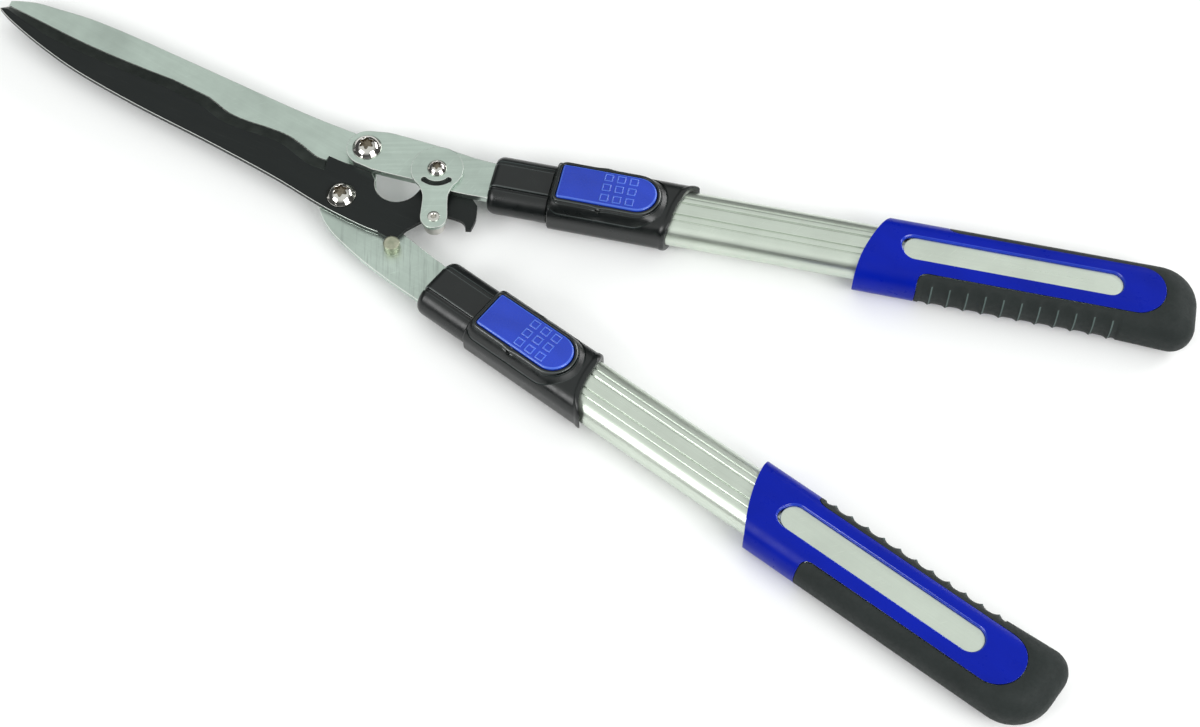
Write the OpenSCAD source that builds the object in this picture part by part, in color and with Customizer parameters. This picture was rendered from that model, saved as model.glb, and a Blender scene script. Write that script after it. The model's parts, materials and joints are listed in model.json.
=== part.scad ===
// Telescopic hedge shears with a wave-edged blade and a cam-driven second blade.
// The tool lies flat on its grips and pivot nuts, closed, with both handles pushed in.
// Blades point to -X and handles to +X. Everything is laid out around the main pivot,
// then moved so that the origin is at the middle of the tool's footprint.

/* [Blades] */
// Distance from the main pivot to the blade tips
blade_reach = 247; // [235:1:262]
// Thickness of each blade plate
blade_t = 3; // [2.4:0.1:3]
// Width of the ground bevel behind each cutting edge
bevel_w = 9; // [6:0.5:11]
// Depth of the ground bevel at the cutting edge
bevel_d = 2.3; // [1:0.1:2.3]

/* [Drive linkage] */
// Thickness of the moving handle's steel tang
tang_t = 4.2; // [3.6:0.1:4.2]
// Thickness of the keyhole link plate
plate_t = 2.2; // [1.6:0.1:2.8]
// Radius of the roller that opens the blade
roller_r = 5.9; // [5.2:0.1:5.9]
// Radius of the roller that closes the blade
closer_r = 5; // [4.4:0.1:5]
// Moving blade's turn for one degree of handle turn
cam_ratio = 0.85; // [0.8:0.01:0.88]
// Handle's opening angle at which the cams end
cam_angle = 21; // [18:1:21]
// Radius of the stop pin on the fixed tang
stop_r = 4.6; // [4:0.1:4.6]

/* [Pivot bolts] */
// Radius of the M8 pivot bolts' shanks
pivot_r = 4; // [3.8:0.1:4.2]
// Radius of the M8 bolts' domed heads
pivot_head_r = 8.2; // [7.5:0.1:8.5]
// Radius of the M6 plate bolt's shank
plate_bolt_r = 3; // [2.6:0.1:3]
// Radius of the M6 plate bolt's domed head
plate_head_r = 5.4; // [5:0.1:5.8]

/* [Handles] */
// Angle of the moving handle to the blades
upper_angle = 20.45; // [19:0.05:22]
// Angle of the fixed handle to the blades
lower_angle = -4.98; // [-6:0.02:-4]
// Width of the outer aluminium tube
tube_w = 33.5; // [32:0.5:34]
// Thickness of the outer aluminium tube
tube_t = 19; // [18.6:0.1:19.2]
// Wall of both tubes
tube_wall = 1.5; // [1.2:0.1:1.6]
// Travel of each telescopic handle
travel = 210; // [180:6:210]
// Number of lock positions along that travel
lock_steps = 7; // [7:1:7]

/* [Lock buttons] */
// Width of the lock button
button_w = 22; // [20:0.5:22]
// Length of the lock button
button_len = 54; // [52:1:55]
// Radius of the lock pin
lock_r = 2.8; // [2.4:0.1:3]

/* [Grips] */
// Width of each grip
grip_w = 44; // [42:1:46]
// Thickness of each grip
grip_t = 28; // [27.6:0.1:28]
// Half width of the blue panel between the rubber sides
panel_w = 14; // [12:0.5:15]
// Number of finger ribs on each grip
ribs = 11; // [6:1:11]

/* [Hidden] */
$fn = 64;

// Clearances: running, pressed in place, and the overlap of joined shapes
run = 0.05;
snug = 0.02;
weld = 0.2;

// Heights above the surface the tool lies on
mid_z = grip_t / 2;
fixed_top = mid_z - 2;
fixed_z = fixed_top - blade_t;
mover_z = fixed_top + 0.15;
mover_top = mover_z + blade_t;
tang_z = mid_z + 1.3;
tang_top = tang_z + tang_t;
plate_top = tang_top + plate_t;
washer_t = 1.2;
head_h = 5.2;
plate_head_h = 3.6;
bolt_end = 0.4;
stop_top = fixed_top + 5.4;

// Smaller hardware
pivot_socket_r = 4.2;
plate_socket_r = 2.8;
nut_across = 13;
rivet_r = 2.5;
spacer_r = 8;
stop_neck = 1;
clinch_t = 1.6;

// Pivots and pins around the main pivot, in the plane of the blades
handle_pivot = [-4.8, 31.5];
plate_pivot = [37.1, 40];
roller_at = [54, 12.7];
stop_at = [42.6, -11.3];
upper_front = [65.4, 52.2];
lower_front = [77.1, -19.3];

// Stations along a handle, measured from the front of its collar
collar_len = 34;
sleeve_from = 34.4;
button_from = 38.4;
button_pivot = 62.5;
button_axle_z = 13.6;
button_base = 13.1;
button_top = 16.6;
axle_r = 1;
axle_len = 26.6;
button_skin = 1.4;
button_under = button_top - button_skin;
sleeve_top = 12.2;
bezel_top = 15.6;
sleeve_mid = 104;
horn_in = 100.5;
horn_out = 113.6;
tube_from = 12;
tang_end = 62;
rivets_at = [30, 52];
outer_from = 35;
outer_to = 378;
inner_to = 366;
lock_at = 42.5;
lock_bite = 1.5;
spring_at = button_from + button_len - button_w / 2 + 2;
spring_r = 3.1;
band_h = 0.4;
grip_in = 204.6;
grip_out = 220;
rubber_in = 238;
rubber_out = 250.5;
window_from = 228;
window_to = 345;
window_w = 6.8;
panel_to = 367;
grip_end = 386;
rib_from = 246;
rib_pitch = 9.6;
heel_r = 12;
heel_at = 374;
heel_flare = 2;
grip_corner = 13;
window_floor = 11.4;
inlay_t = 1;

// ---- Curves ----

function arc(c, r, from, to, n = 12) =
    [for (i = [0:n]) c + r * [cos(from + (to - from) * i / n), sin(from + (to - from) * i / n)]];

// A smooth curve through the given points
function through(p, n = 5) = [
    for (i = [0:len(p) - 2])
        let (a = p[max(i - 1, 0)], b = p[i], c = p[i + 1], d = p[min(i + 2, len(p) - 1)])
            for (k = [0:n - 1])
                let (t = k / n)
                    0.5 * (2 * b + (c - a) * t + (2 * a - 5 * b + 4 * c - d) * t * t
                        + (3 * b - a - 3 * c + d) * t * t * t),
    p[len(p) - 1]
];

function turn(p, a) = [p[0] * cos(a) - p[1] * sin(a), p[0] * sin(a) + p[1] * cos(a)];

// Path of a follower on the handle as the cutting blade sees it
function seen(p, a) = turn(handle_pivot + turn(p - handle_pivot, a), -cam_ratio * a);

// A cam edge at a distance from that path, on the side given by the sign
function cam(p, gap, side, n = 14) = [
    for (i = [0:n])
        let (
            a = cam_angle * i / n,
            v = seen(p, a + 0.1) - seen(p, a - 0.1),
            u = v / norm(v)
        )
            seen(p, a) + side * gap * [-u[1], u[0]]
];

function cam_dir(p, a) =
    let (v = seen(p, a + 0.1) - seen(p, a - 0.1))
        atan2(v[1], v[0]);

// A point beside a handle's axis: s along it and w to the left of it
function beside(front, angle, s, w) = front + turn([s, w], angle);

// Middle of the footprint: blade tips to the fixed grip's heel, and outer side to outer side
cap = grip_end - grip_w / 2;
heel = beside(lower_front, lower_angle, heel_at, grip_w / 2 + heel_flare - heel_r);
centre_x = (heel[0] + heel_r - blade_reach) / 2;
centre_y = (upper_front[1] + cap * sin(upper_angle) + lower_front[1] + cap * sin(lower_angle)) / 2;

// ---- Shared shapes ----

module disc(at, z, r, h) {
    translate([at[0], at[1], z])
        cylinder(r = r, h = h);
}

// A domed bolt head with a six-lobed socket, and its shank down to the bottom height
module dome_bolt(at, seat, head_r, head_height, shank_r, bottom, socket_r) {
    dome_r = (head_r * head_r + head_height * head_height) / (2 * head_height);
    rim = 0.8;
    lobe_at = 0.72 * socket_r;
    lobe_r = 0.3 * socket_r;
    socket_z = 0.42 * head_height;
    translate([at[0], at[1], seat])
        difference() {
            union() {
                cylinder(r = head_r, h = rim);
                translate([0, 0, rim])
                    rotate_extrude()
                        intersection() {
                            translate([0, head_height - rim - dome_r])
                                circle(r = dome_r);
                            square([head_r, head_height]);
                        }
            }
            for (i = [0:5])
                rotate([0, 0, 60 * i])
                    translate([lobe_at, 0, socket_z])
                        cylinder(r = lobe_r, h = head_height);
            translate([0, 0, socket_z])
                cylinder(r = lobe_at, h = head_height);
        }
    disc(at, bottom, shank_r, seat - bottom + weld);
}

module hex_nut(at, z, across, height, hole_r) {
    flange = 1.6;
    nose = 2;
    translate([at[0], at[1], z])
        difference() {
            union() {
                cylinder(r = across / sqrt(3), h = height - nose, $fn = 6);
                translate([0, 0, height - nose])
                    cylinder(r = across / 2 - 0.4, h = nose);
                cylinder(r = across / 2 + flange, h = flange);
            }
            translate([0, 0, -1])
                cylinder(r = hole_r, h = height + 2);
        }
}

module ring(at, z, r, hole_r, h) {
    translate([at[0], at[1], z])
        difference() {
            cylinder(r = r, h = h);
            translate([0, 0, -1])
                cylinder(r = hole_r, h = h + 2);
        }
}

// A flat oval, w wide and t thick with rounded sides
module oval(w, t, r = 0) {
    rr = r > 0 ? r : t / 2;
    square([w - 2 * rr, t], center = true);
    if (rr < t / 2)
        square([w, t - 2 * rr], center = true);
    for (sx = [-1, 1], sy = (rr < t / 2 ? [-1, 1] : [0]))
        translate([sx * (w / 2 - rr), sy * (t / 2 - rr)])
            circle(r = rr);
}

// An oval with a raised flat band on both faces and a double groove beside it
module banded(w, t) {
    grooves = [5.6, 9.2];
    groove_w = 0.8;
    difference() {
        union() {
            oval(w, t);
            square([2 * grooves[0], t + 2 * band_h], center = true);
        }
        for (sx = [-1, 1], sy = [-1, 1], y = grooves)
            translate([sx * y, sy * t / 2])
                square([groove_w, 1], center = true);
    }
}

// Stretches a section along a handle's axis from station a to station b
module along(a, b) {
    translate([a, 0, 0])
        rotate([90, 0, 90])
            linear_extrude(b - a)
                children();
}

// Places a handle part: side 1 is the moving upper handle, -1 the fixed lower one
module on_handle(side) {
    front = side > 0 ? upper_front : lower_front;
    translate([front[0], front[1], mid_z])
        rotate([0, 0, side > 0 ? upper_angle : lower_angle])
            mirror([0, side > 0 ? 0 : 1, 0])
                children();
}

module plate_shape(points, z, t) {
    translate([0, 0, z])
        linear_extrude(t)
            polygon(points);
}

// ---- Blades ----

// Wave-ground cutting edge of the moving blade, from its tip to the heel notch
function wave_edge() = through([
    [-blade_reach + 2.4, 4], [-223, 5], [-195, 6.2], [-169, 8.5], [-143, 11.8], [-121, 15.1],
    [-109.6, 15.7], [-98.5, 14.1], [-88, 12.6], [-77, 13.6], [-63.6, 16.4], [-51.3, 18.1],
    [-41, 17.3], [-29.1, 15.3], [-22.9, 16]
]);

function mover_spine() = through([
    [-blade_reach + 0.3, -1.9], [-236, -5.1], [-211, -9.7], [-179, -13], [-136, -13.2],
    [-83, -11.1], [-39, -10.3], [-8.4, -11.3], [9.4, -10.9], [23, -9.9], [31, -8.6]
], 4);

// Outline of the moving blade, its open notch and its cam tail
function mover_outline() =
    let (
        gap_low = roller_r + 0.3,
        gap_up = closer_r + 0.3,
        low_0 = cam_dir(roller_at, 0) + 90,
        low_1 = cam_dir(roller_at, cam_angle) + 90,
        low_end = seen(roller_at, cam_angle)
    )
    concat(
        wave_edge(),
        [[-21.6, 17.8], [-9.1, 19.4], [-3.6, 21], [4.6, 21.8]],
        arc([21.3, 23.8], 12.8, 204, 360, 16),
        [[34.1, 31.5]],
        cam(plate_pivot, gap_up, -1),
        [[60, 38.4], [67, 35], [71.6, 26.5], [72.9, 20.4]],
        arc(low_end, gap_low, 27, low_1, 6),
        [for (i = [14:-1:0]) cam(roller_at, gap_low, 1)[i]],
        arc(roller_at, gap_low, low_0 + 8, 186, 8),
        [[45.4, 6.5], [43.2, 1.2]],
        arc(stop_at, stop_r + 0.4, 96, 146, 6),
        [for (i = [len(mover_spine()) - 1:-1:0]) mover_spine()[i]]
    );

function fixed_spine() = through([
    [-blade_reach, 7.2], [-243, 9.8], [-233, 14.5], [-220.7, 17.5], [-198, 22.5], [-169, 26],
    [-117, 30.3], [-56, 35.3], [-23.6, 39.5], [-11, 42]
], 4);

// Outline of the fixed blade with its boss at the handle pivot and its tang
function fixed_outline() = concat(
    fixed_spine(),
    arc(handle_pivot, 10.8, 98, -30, 10),
    [[9.5, 19], [13.5, 14.5], [21, 6.5], [32, 1.5], [44.4, -1], [56.8, -2.9]],
    [for (w = [13.2, 7.5]) beside(lower_front, lower_angle, w > 8 ? 2 : 10, w)],
    [beside(lower_front, lower_angle, tang_end, 7.5)],
    [beside(lower_front, lower_angle, tang_end, -7.5)],
    [for (w = [-7.5, -12]) beside(lower_front, lower_angle, w < -8 ? 1 : 10, w)],
    through([[53.8, -29.4], [35, -26.9], [14.5, -22.5], [5.2, -19.4], [-2.3, -15.3], [-7.4, -11],
        [-10, -7], [-16, -3.6], [-30, -2.4]], 4),
    [[-120, -1.6], [-200, 0.6], [-blade_reach + 1.4, 3]]
);

// Cuts the ground bevel away beyond the line from a to b; up is 1 on the top face
module bevel_cut(a, b, z, up) {
    angle = atan2(b[1] - a[1], b[0] - a[0]);
    slope = atan(bevel_d / bevel_w);
    translate([a[0], a[1], z])
        rotate([0, 0, angle])
            rotate([up * -slope, 0, 0])
                translate([-10, 0, up > 0 ? 0 : -10])
                    cube([norm(b - a) + 10, 40, 10]);
}

module fixed_blade() {
    color("silver")
        difference() {
            plate_shape(fixed_outline(), fixed_z, blade_t);
            disc([0, 0], fixed_z - 1, pivot_r + run, blade_t + 2);
            disc(handle_pivot, fixed_z - 1, pivot_r + run, blade_t + 2);
            disc(stop_at, fixed_z - 1, stop_r - stop_neck + snug, blade_t + 2);
            for (s = rivets_at)
                disc(beside(lower_front, lower_angle, s, 0), fixed_z - 1, rivet_r + snug, blade_t + 2);
            mirror([0, 1, 0])
                bevel_cut([-250, -9], [-34, -bevel_w + 2.4 + 0.4], fixed_z, -1);
        }
}

module cutting_blade() {
    color("#26292a")
        difference() {
            plate_shape(mover_outline(), mover_z, blade_t);
            disc([0, 0], mover_z - 1, pivot_r + run, blade_t + 2);
            bevel_cut([-250, -4.6], [-23.4, 7.8], mover_top, 1);
        }
}

module stop_pin() {
    color("silver") {
        disc(stop_at, fixed_z - washer_t, stop_r - stop_neck, blade_t + washer_t + weld);
        disc(stop_at, fixed_top, stop_r, stop_top - fixed_top);
    }
}

// ---- Pivots ----

module pivot_stack_bolt(at, seat) {
    dome_bolt(at, seat, pivot_head_r, head_h, pivot_r, bolt_end, pivot_socket_r);
}

module main_pivot_bolt() {
    color("gainsboro")
        pivot_stack_bolt([0, 0], mover_top + run);
}

module handle_pivot_bolt() {
    color("gainsboro")
        pivot_stack_bolt(handle_pivot, tang_top + run);
}

module pivot_washer(at) {
    ring(at, fixed_z - washer_t, pivot_head_r, pivot_r + run, washer_t);
}

module pivot_nut(at) {
    translate([0, 0, fixed_z - washer_t])
        mirror([0, 0, 1])
            hex_nut(at, 0, nut_across, fixed_z - washer_t, pivot_r);
}

module handle_pivot_spacer() {
    color("gainsboro")
        ring(handle_pivot, fixed_top, spacer_r, pivot_r + run, tang_z - run - fixed_top);
}

// ---- Moving tang and its link plate ----

function tang_outline() = concat(
    through([
        beside(upper_front, upper_angle, 1, -13.4), [53, 33.3], [40, 30.7], [29.4, 28],
        [16.1, 23.9], [5.7, 21]
    ], 4),
    arc(handle_pivot, 11.6, 282, 120, 16),
    through([
        [-6, 43.9], [1.1, 47.2], [17.3, 51.5], [33.8, 55.3], [50.4, 58.6],
        beside(upper_front, upper_angle, 1, 10.2)
    ], 4),
    [
        beside(upper_front, upper_angle, 10, 7.5),
        beside(upper_front, upper_angle, tang_end, 7.5),
        beside(upper_front, upper_angle, tang_end, -7.5),
        beside(upper_front, upper_angle, 10, -7.5)
    ]
);

module upper_tang() {
    color("silver")
        difference() {
            plate_shape(tang_outline(), tang_z, tang_t);
            disc(handle_pivot, tang_z - 1, pivot_r + run, tang_t + 2);
            disc(plate_pivot, tang_z - 1, plate_bolt_r + snug, tang_t + 2);
            for (s = rivets_at)
                disc(beside(upper_front, upper_angle, s, 0), tang_z - 1, rivet_r + snug, tang_t + 2);
        }
}

// From the plate bolt down to the roller
plate_down = atan2(roller_at[1] - plate_pivot[1], roller_at[0] - plate_pivot[0]);
plate_reach = norm(roller_at - plate_pivot);

// Keyhole plate: round head on the plate bolt, waisted neck and small round foot
function plate_outline() =
    let (
        head = 14.6,
        foot = 7.4,
        side = [[14.5, 7.9], [19.5, 6.9], [plate_reach - 1, foot]],
        local = concat(
            arc([0, 0], head, 318, 42, 24),
            through(side, 5),
            arc([plate_reach, 0], foot, 90, -90, 14),
            through([for (i = [2:-1:0]) [side[i][0], -side[i][1]]], 5)
        )
    )
    [for (p = local) plate_pivot + turn(p, plate_down)];

// Smile-shaped slot below the plate bolt, with a round hole at each end
module smile_slot(z, h) {
    inside = 8.6;
    outside = 11.6;
    spread = 38;
    hole_r = 1.7;
    translate([plate_pivot[0], plate_pivot[1], z])
        rotate([0, 0, plate_down])
            linear_extrude(h) {
                polygon(concat(
                    arc([0, 0], outside, -spread, spread, 16),
                    arc([0, 0], inside, spread, -spread, 16)
                ));
                for (s = [-1, 1])
                    rotate([0, 0, s * (spread + 4)])
                        translate([(inside + outside) / 2, 0])
                            circle(r = hole_r);
            }
}

module link_plate() {
    color("silver")
        difference() {
            plate_shape(plate_outline(), tang_top, plate_t);
            disc(plate_pivot, tang_top - 1, plate_bolt_r + snug, plate_t + 2);
            disc(roller_at, tang_top - 1, rivet_r + snug, plate_t + 2);
            smile_slot(tang_top - 1, plate_t + 2);
        }
}

module plate_bolt() {
    color("gainsboro") {
        dome_bolt(plate_pivot, plate_top, plate_head_r, plate_head_h, plate_bolt_r,
            mover_z - weld, plate_socket_r);
        disc(plate_pivot, mover_z - clinch_t - 0.1, plate_bolt_r + 1, clinch_t);
    }
}

module roller_rivet() {
    hollow_r = 1.4;
    color("gainsboro")
        difference() {
            union() {
                disc(roller_at, mover_z - weld, rivet_r, plate_top - mover_z + 0.3);
                disc(roller_at, plate_top, rivet_r + 0.9, 0.7);
                disc(roller_at, mover_z - clinch_t - 0.1, rivet_r + 1, clinch_t);
            }
            disc(roller_at, plate_top - 2, hollow_r, 4);
        }
}

module closing_roller() {
    color("gainsboro")
        ring(plate_pivot, mover_z, closer_r, plate_bolt_r + run, tang_z - 0.1 - mover_z);
}

module opening_roller() {
    color("gainsboro")
        ring(roller_at, mover_z, roller_r, rivet_r + run, tang_top - 0.1 - mover_z);
}

// ---- Telescopic handles ----

bore_w = tube_w - 2 * tube_wall;
bore_t = tube_t - 2 * tube_wall;
inner_w = bore_w - 0.6;
inner_t = bore_t - 0.6;
lock_pitch = travel / (lock_steps - 1);

module collar(side) {
    flat_z = side > 0 ? tang_z - mid_z : fixed_z - mid_z;
    flat_t = side > 0 ? tang_t : blade_t;
    slot_w = 28;
    color("#23272a")
        on_handle(side)
            difference() {
                along(0, collar_len)
                    banded(tube_w + 1, tube_t + 1);
                along(tube_from, collar_len + 1)
                    oval(inner_w + 0.1, inner_t + 0.1);
                translate([-1, -slot_w / 2, flat_z - run])
                    cube([tube_from + 2, slot_w, flat_t + 2 * run]);
            }
}

module inner_tube(side) {
    color("lightgray")
        on_handle(side)
            difference() {
                along(tube_from + 0.1, inner_to)
                    difference() {
                        oval(inner_w, inner_t);
                        oval(inner_w - 2 * tube_wall, inner_t - 2 * tube_wall);
                    }
                for (s = rivets_at)
                    translate([s, 0, -20])
                        cylinder(r = rivet_r + snug, h = 40);
                for (i = [0:lock_steps - 1])
                    translate([lock_at + i * lock_pitch, 0, 1])
                        cylinder(r = lock_r + 0.9, h = 20);
            }
}

module tang_rivets(side) {
    color("gainsboro")
        on_handle(side)
            for (s = rivets_at)
                translate([s, 0, -inner_t / 2])
                    cylinder(r = rivet_r, h = inner_t);
}

// Slide bush at the rear end of the inner tube
module guide(side) {
    flange_t = 3;
    plug_len = 14;
    color("#303436")
        on_handle(side)
            difference() {
                union() {
                    along(inner_to + run, inner_to + flange_t)
                        oval(inner_w + 0.4, inner_t + 0.4);
                    along(inner_to - plug_len, inner_to + 1)
                        oval(inner_w - 2 * tube_wall - 0.1, inner_t - 2 * tube_wall - 0.1);
                }
                along(inner_to - plug_len - 1, inner_to + flange_t + 1)
                    oval(inner_w - 2 * tube_wall - 4, inner_t - 2 * tube_wall - 4);
            }
}

module outer_tube(side) {
    color("silver")
        on_handle(side)
            difference() {
                along(outer_from, outer_to)
                    difference() {
                        banded(tube_w, tube_t);
                        oval(bore_w, bore_t);
                    }
                translate([lock_at, 0, 1])
                    cylinder(r = lock_r + 1.2, h = 20);
            }
}

// Hollow end of the sleeve, cut back in the middle between two horns
function sleeve_cut() = concat(
    [[horn_in - 0.6, -30]],
    through([
        [horn_in, -19], [horn_in + 1.8, -12], [sleeve_mid, 0], [sleeve_mid + 3.6, 11], [horn_out, 19]
    ], 5),
    [[horn_out + 0.6, 30], [150, 30], [150, -30]]
);

module lock_sleeve(side) {
    gap = 0.35;
    bezel_w = 2.3;
    pocket = button_w / 2 + gap;
    rear = button_from + button_len + gap - pocket;
    color("#23272a")
        on_handle(side)
            difference() {
                union() {
                    along(sleeve_from, 120)
                        oval(tube_w + 3.6, 2 * sleeve_top, 10.5);
                    translate([0, 0, 3])
                        linear_extrude(bezel_top - 3) {
                            translate([sleeve_from, -pocket - bezel_w])
                                square([rear - sleeve_from, 2 * (pocket + bezel_w)]);
                            translate([rear, 0])
                                circle(r = pocket + bezel_w);
                        }
                }
                along(sleeve_from - 1, 121)
                    banded(tube_w + 0.1, tube_t + 0.1);
                translate([0, 0, -30])
                    linear_extrude(60)
                        polygon(sleeve_cut());
                translate([0, 0, 8]) {
                    translate([button_from - gap, -pocket, 0])
                        cube([rear - button_from + gap, 2 * pocket, 20]);
                    translate([rear, 0, 0])
                        cylinder(r = pocket, h = 20);
                }
                translate([button_pivot, 0, button_axle_z])
                    rotate([90, 0, 0])
                        cylinder(r = axle_r + snug, h = 60, center = true);
            }
}

module button_axle(side) {
    color("gainsboro")
        on_handle(side)
            translate([button_pivot, 0, button_axle_z])
                rotate([90, 0, 0])
                    cylinder(r = axle_r, h = axle_len, center = true);
}

// Rocker with a three by three field of raised squares behind its axle
module button(side) {
    nose = button_w / 2;
    rear = button_from + button_len - nose;
    pitch = 6.5;
    hub_r = 2.3;
    square_w = 4.3;
    line_w = 0.7;
    color("royalblue")
        on_handle(side)
            difference() {
                union() {
                    translate([0, 0, button_base])
                        linear_extrude(button_top - button_base) {
                            translate([button_from, -nose])
                                square([rear - button_from, button_w]);
                            translate([rear, 0])
                                circle(r = nose);
                        }
                    translate([button_pivot, 0, button_axle_z])
                        rotate([90, 0, 0])
                            cylinder(r = hub_r, h = button_w - 0.4, center = true);
                    for (i = [-1:1], k = [-1:1])
                        translate([button_pivot + 9 + pitch * i, pitch * k, button_top + 0.1])
                            difference() {
                                cube([square_w, square_w, 0.6], center = true);
                                cube([square_w - 2 * line_w, square_w - 2 * line_w, 1], center = true);
                            }
                }
                translate([button_pivot, 0, button_axle_z])
                    rotate([90, 0, 0])
                        cylinder(r = axle_r + run, h = 60, center = true);
                translate([lock_at, 0, 0])
                    cylinder(r = lock_r + snug, h = button_under);
                translate([spring_at, 0, 0])
                    cylinder(r = spring_r + 0.3, h = button_under);
            }
}

module lock_pin(side) {
    tip = inner_t / 2 - lock_bite;
    color("gainsboro")
        on_handle(side)
            translate([lock_at, 0, tip])
                cylinder(r = lock_r, h = button_under - tip);
}

// Flat rings stand for the turns of the small compression spring
module button_spring(side) {
    floor_z = tube_t / 2 + band_h;
    rise = button_under - floor_z;
    turns = 5;
    wire = 0.8;
    color("gray")
        on_handle(side)
            translate([spring_at, 0, floor_z])
                difference() {
                    cylinder(r = spring_r, h = rise);
                    translate([0, 0, -1])
                        cylinder(r = spring_r - wire, h = rise + 2);
                    for (i = [0:turns - 2])
                        translate([0.4, 0, (i + 0.75) * rise / turns])
                            cylinder(r = spring_r, h = rise / turns * 0.45);
                }
}

// ---- Grips ----

// Grip outline seen from above: slanted front, full outer curve and a tighter heel inside
function grip_plan() = concat(
    [[grip_in, -grip_w / 2], [heel_at - 40, -grip_w / 2]],
    arc([heel_at, heel_r - grip_w / 2 - heel_flare], heel_r, -90, 0, 12),
    arc([cap, 0], grip_w / 2, 0, 90, 16),
    [[grip_out, grip_w / 2]]
);

module grip_body() {
    intersection() {
        along(grip_in - 2, grip_end + 1) {
            oval(grip_w, grip_t, grip_corner);
            translate([-heel_flare, 0])
                oval(grip_w, grip_t, grip_corner);
        }
        translate([0, 0, -20])
            linear_extrude(40)
                polygon(grip_plan());
    }
}

// Plan of the hard panel that shows between the rubber sides
module panel_plan() {
    polygon(concat(
        [[grip_in - 3, -30], [rubber_in - 4, -30], [rubber_in, -panel_w - 4], [rubber_in + 5, -panel_w]],
        arc([panel_to - panel_w, 0], panel_w, -90, 90, 16),
        [[rubber_out + 5, panel_w], [rubber_out, panel_w + 4], [rubber_out - 2, 30], [grip_in - 3, 30]]
    ));
}

module grip_core() {
    along(grip_in - 2, outer_to + 3)
        oval(tube_w + 4, tube_t + 4);
}

module grip_shell(side) {
    color("#0a1fa0")
        on_handle(side)
            difference() {
                union() {
                    intersection() {
                        grip_body();
                        translate([0, 0, -20])
                            linear_extrude(40)
                                panel_plan();
                    }
                    intersection() {
                        grip_body();
                        grip_core();
                    }
                }
                along(grip_in - 3, outer_to)
                    banded(tube_w + 0.1, tube_t + 0.1);
                window_shape(window_w, window_floor, 10);
            }
}

// The grip window's long round-ended shape
module window_shape(half, z, h) {
    straight = window_to - window_from - 2 * window_w;
    translate([window_from + window_w, 0, z])
        linear_extrude(h) {
            translate([0, -half])
                square([straight, 2 * half]);
            for (s = [0, straight])
                translate([s, 0])
                    circle(r = half);
        }
}

module grip_inlay(side) {
    color("silver")
        on_handle(side)
            window_shape(window_w - 0.1, window_floor, inlay_t);
}

module grip_rubber(side) {
    rib_r = 2.4;
    rib_h = 18;
    color("#383e3c")
        on_handle(side)
            difference() {
                union() {
                    grip_body();
                    for (i = [0:ribs - 1])
                        translate([rib_from + i * rib_pitch, (rib_r - grip_w) / 2, -rib_h / 2])
                            cylinder(r = rib_r, h = rib_h);
                }
                translate([0, 0, -25])
                    linear_extrude(50)
                        panel_plan();
                grip_core();
            }
}

module tube_plug(side) {
    color("#303436")
        on_handle(side)
            along(inner_to + 4, outer_to - 0.1)
                oval(bore_w - 0.1, bore_t - 0.1);
}

// ---- Assembly ----

translate([-centre_x, -centre_y, 0]) {
    fixed_blade();
    stop_pin();
    main_pivot_bolt();
    color("gainsboro") pivot_washer([0, 0]);  // main_pivot_washer
    color("gainsboro") pivot_nut([0, 0]);  // main_pivot_nut
    handle_pivot_bolt();
    handle_pivot_spacer();
    color("gainsboro") pivot_washer(handle_pivot);  // handle_pivot_washer
    color("gainsboro") pivot_nut(handle_pivot);  // handle_pivot_nut
    cutting_blade();
    upper_tang();
    link_plate();
    plate_bolt();
    roller_rivet();
    closing_roller();
    opening_roller();
    collar(-1);  // lower_collar
    inner_tube(-1);  // lower_inner_tube
    tang_rivets(-1);  // lower_tang_rivets
    guide(-1);  // lower_guide
    outer_tube(-1);  // lower_outer_tube
    lock_sleeve(-1);  // lower_lock_sleeve
    button(-1);  // lower_button
    lock_pin(-1);  // lower_lock_pin
    button_axle(-1);  // lower_button_axle
    button_spring(-1);  // lower_button_spring
    grip_shell(-1);  // lower_grip_shell
    grip_rubber(-1);  // lower_grip_rubber
    grip_inlay(-1);  // lower_grip_inlay
    tube_plug(-1);  // lower_tube_plug
    collar(1);  // upper_collar
    inner_tube(1);  // upper_inner_tube
    tang_rivets(1);  // upper_tang_rivets
    guide(1);  // upper_guide
    outer_tube(1);  // upper_outer_tube
    lock_sleeve(1);  // upper_lock_sleeve
    button(1);  // upper_button
    lock_pin(1);  // upper_lock_pin
    button_axle(1);  // upper_button_axle
    button_spring(1);  // upper_button_spring
    grip_shell(1);  // upper_grip_shell
    grip_rubber(1);  // upper_grip_rubber
    grip_inlay(1);  // upper_grip_inlay
    tube_plug(1);  // upper_tube_plug
}
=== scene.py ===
import json
import math

import bmesh
import bpy
from mathutils import Matrix, Vector
from mathutils.geometry import tessellate_polygon


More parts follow.
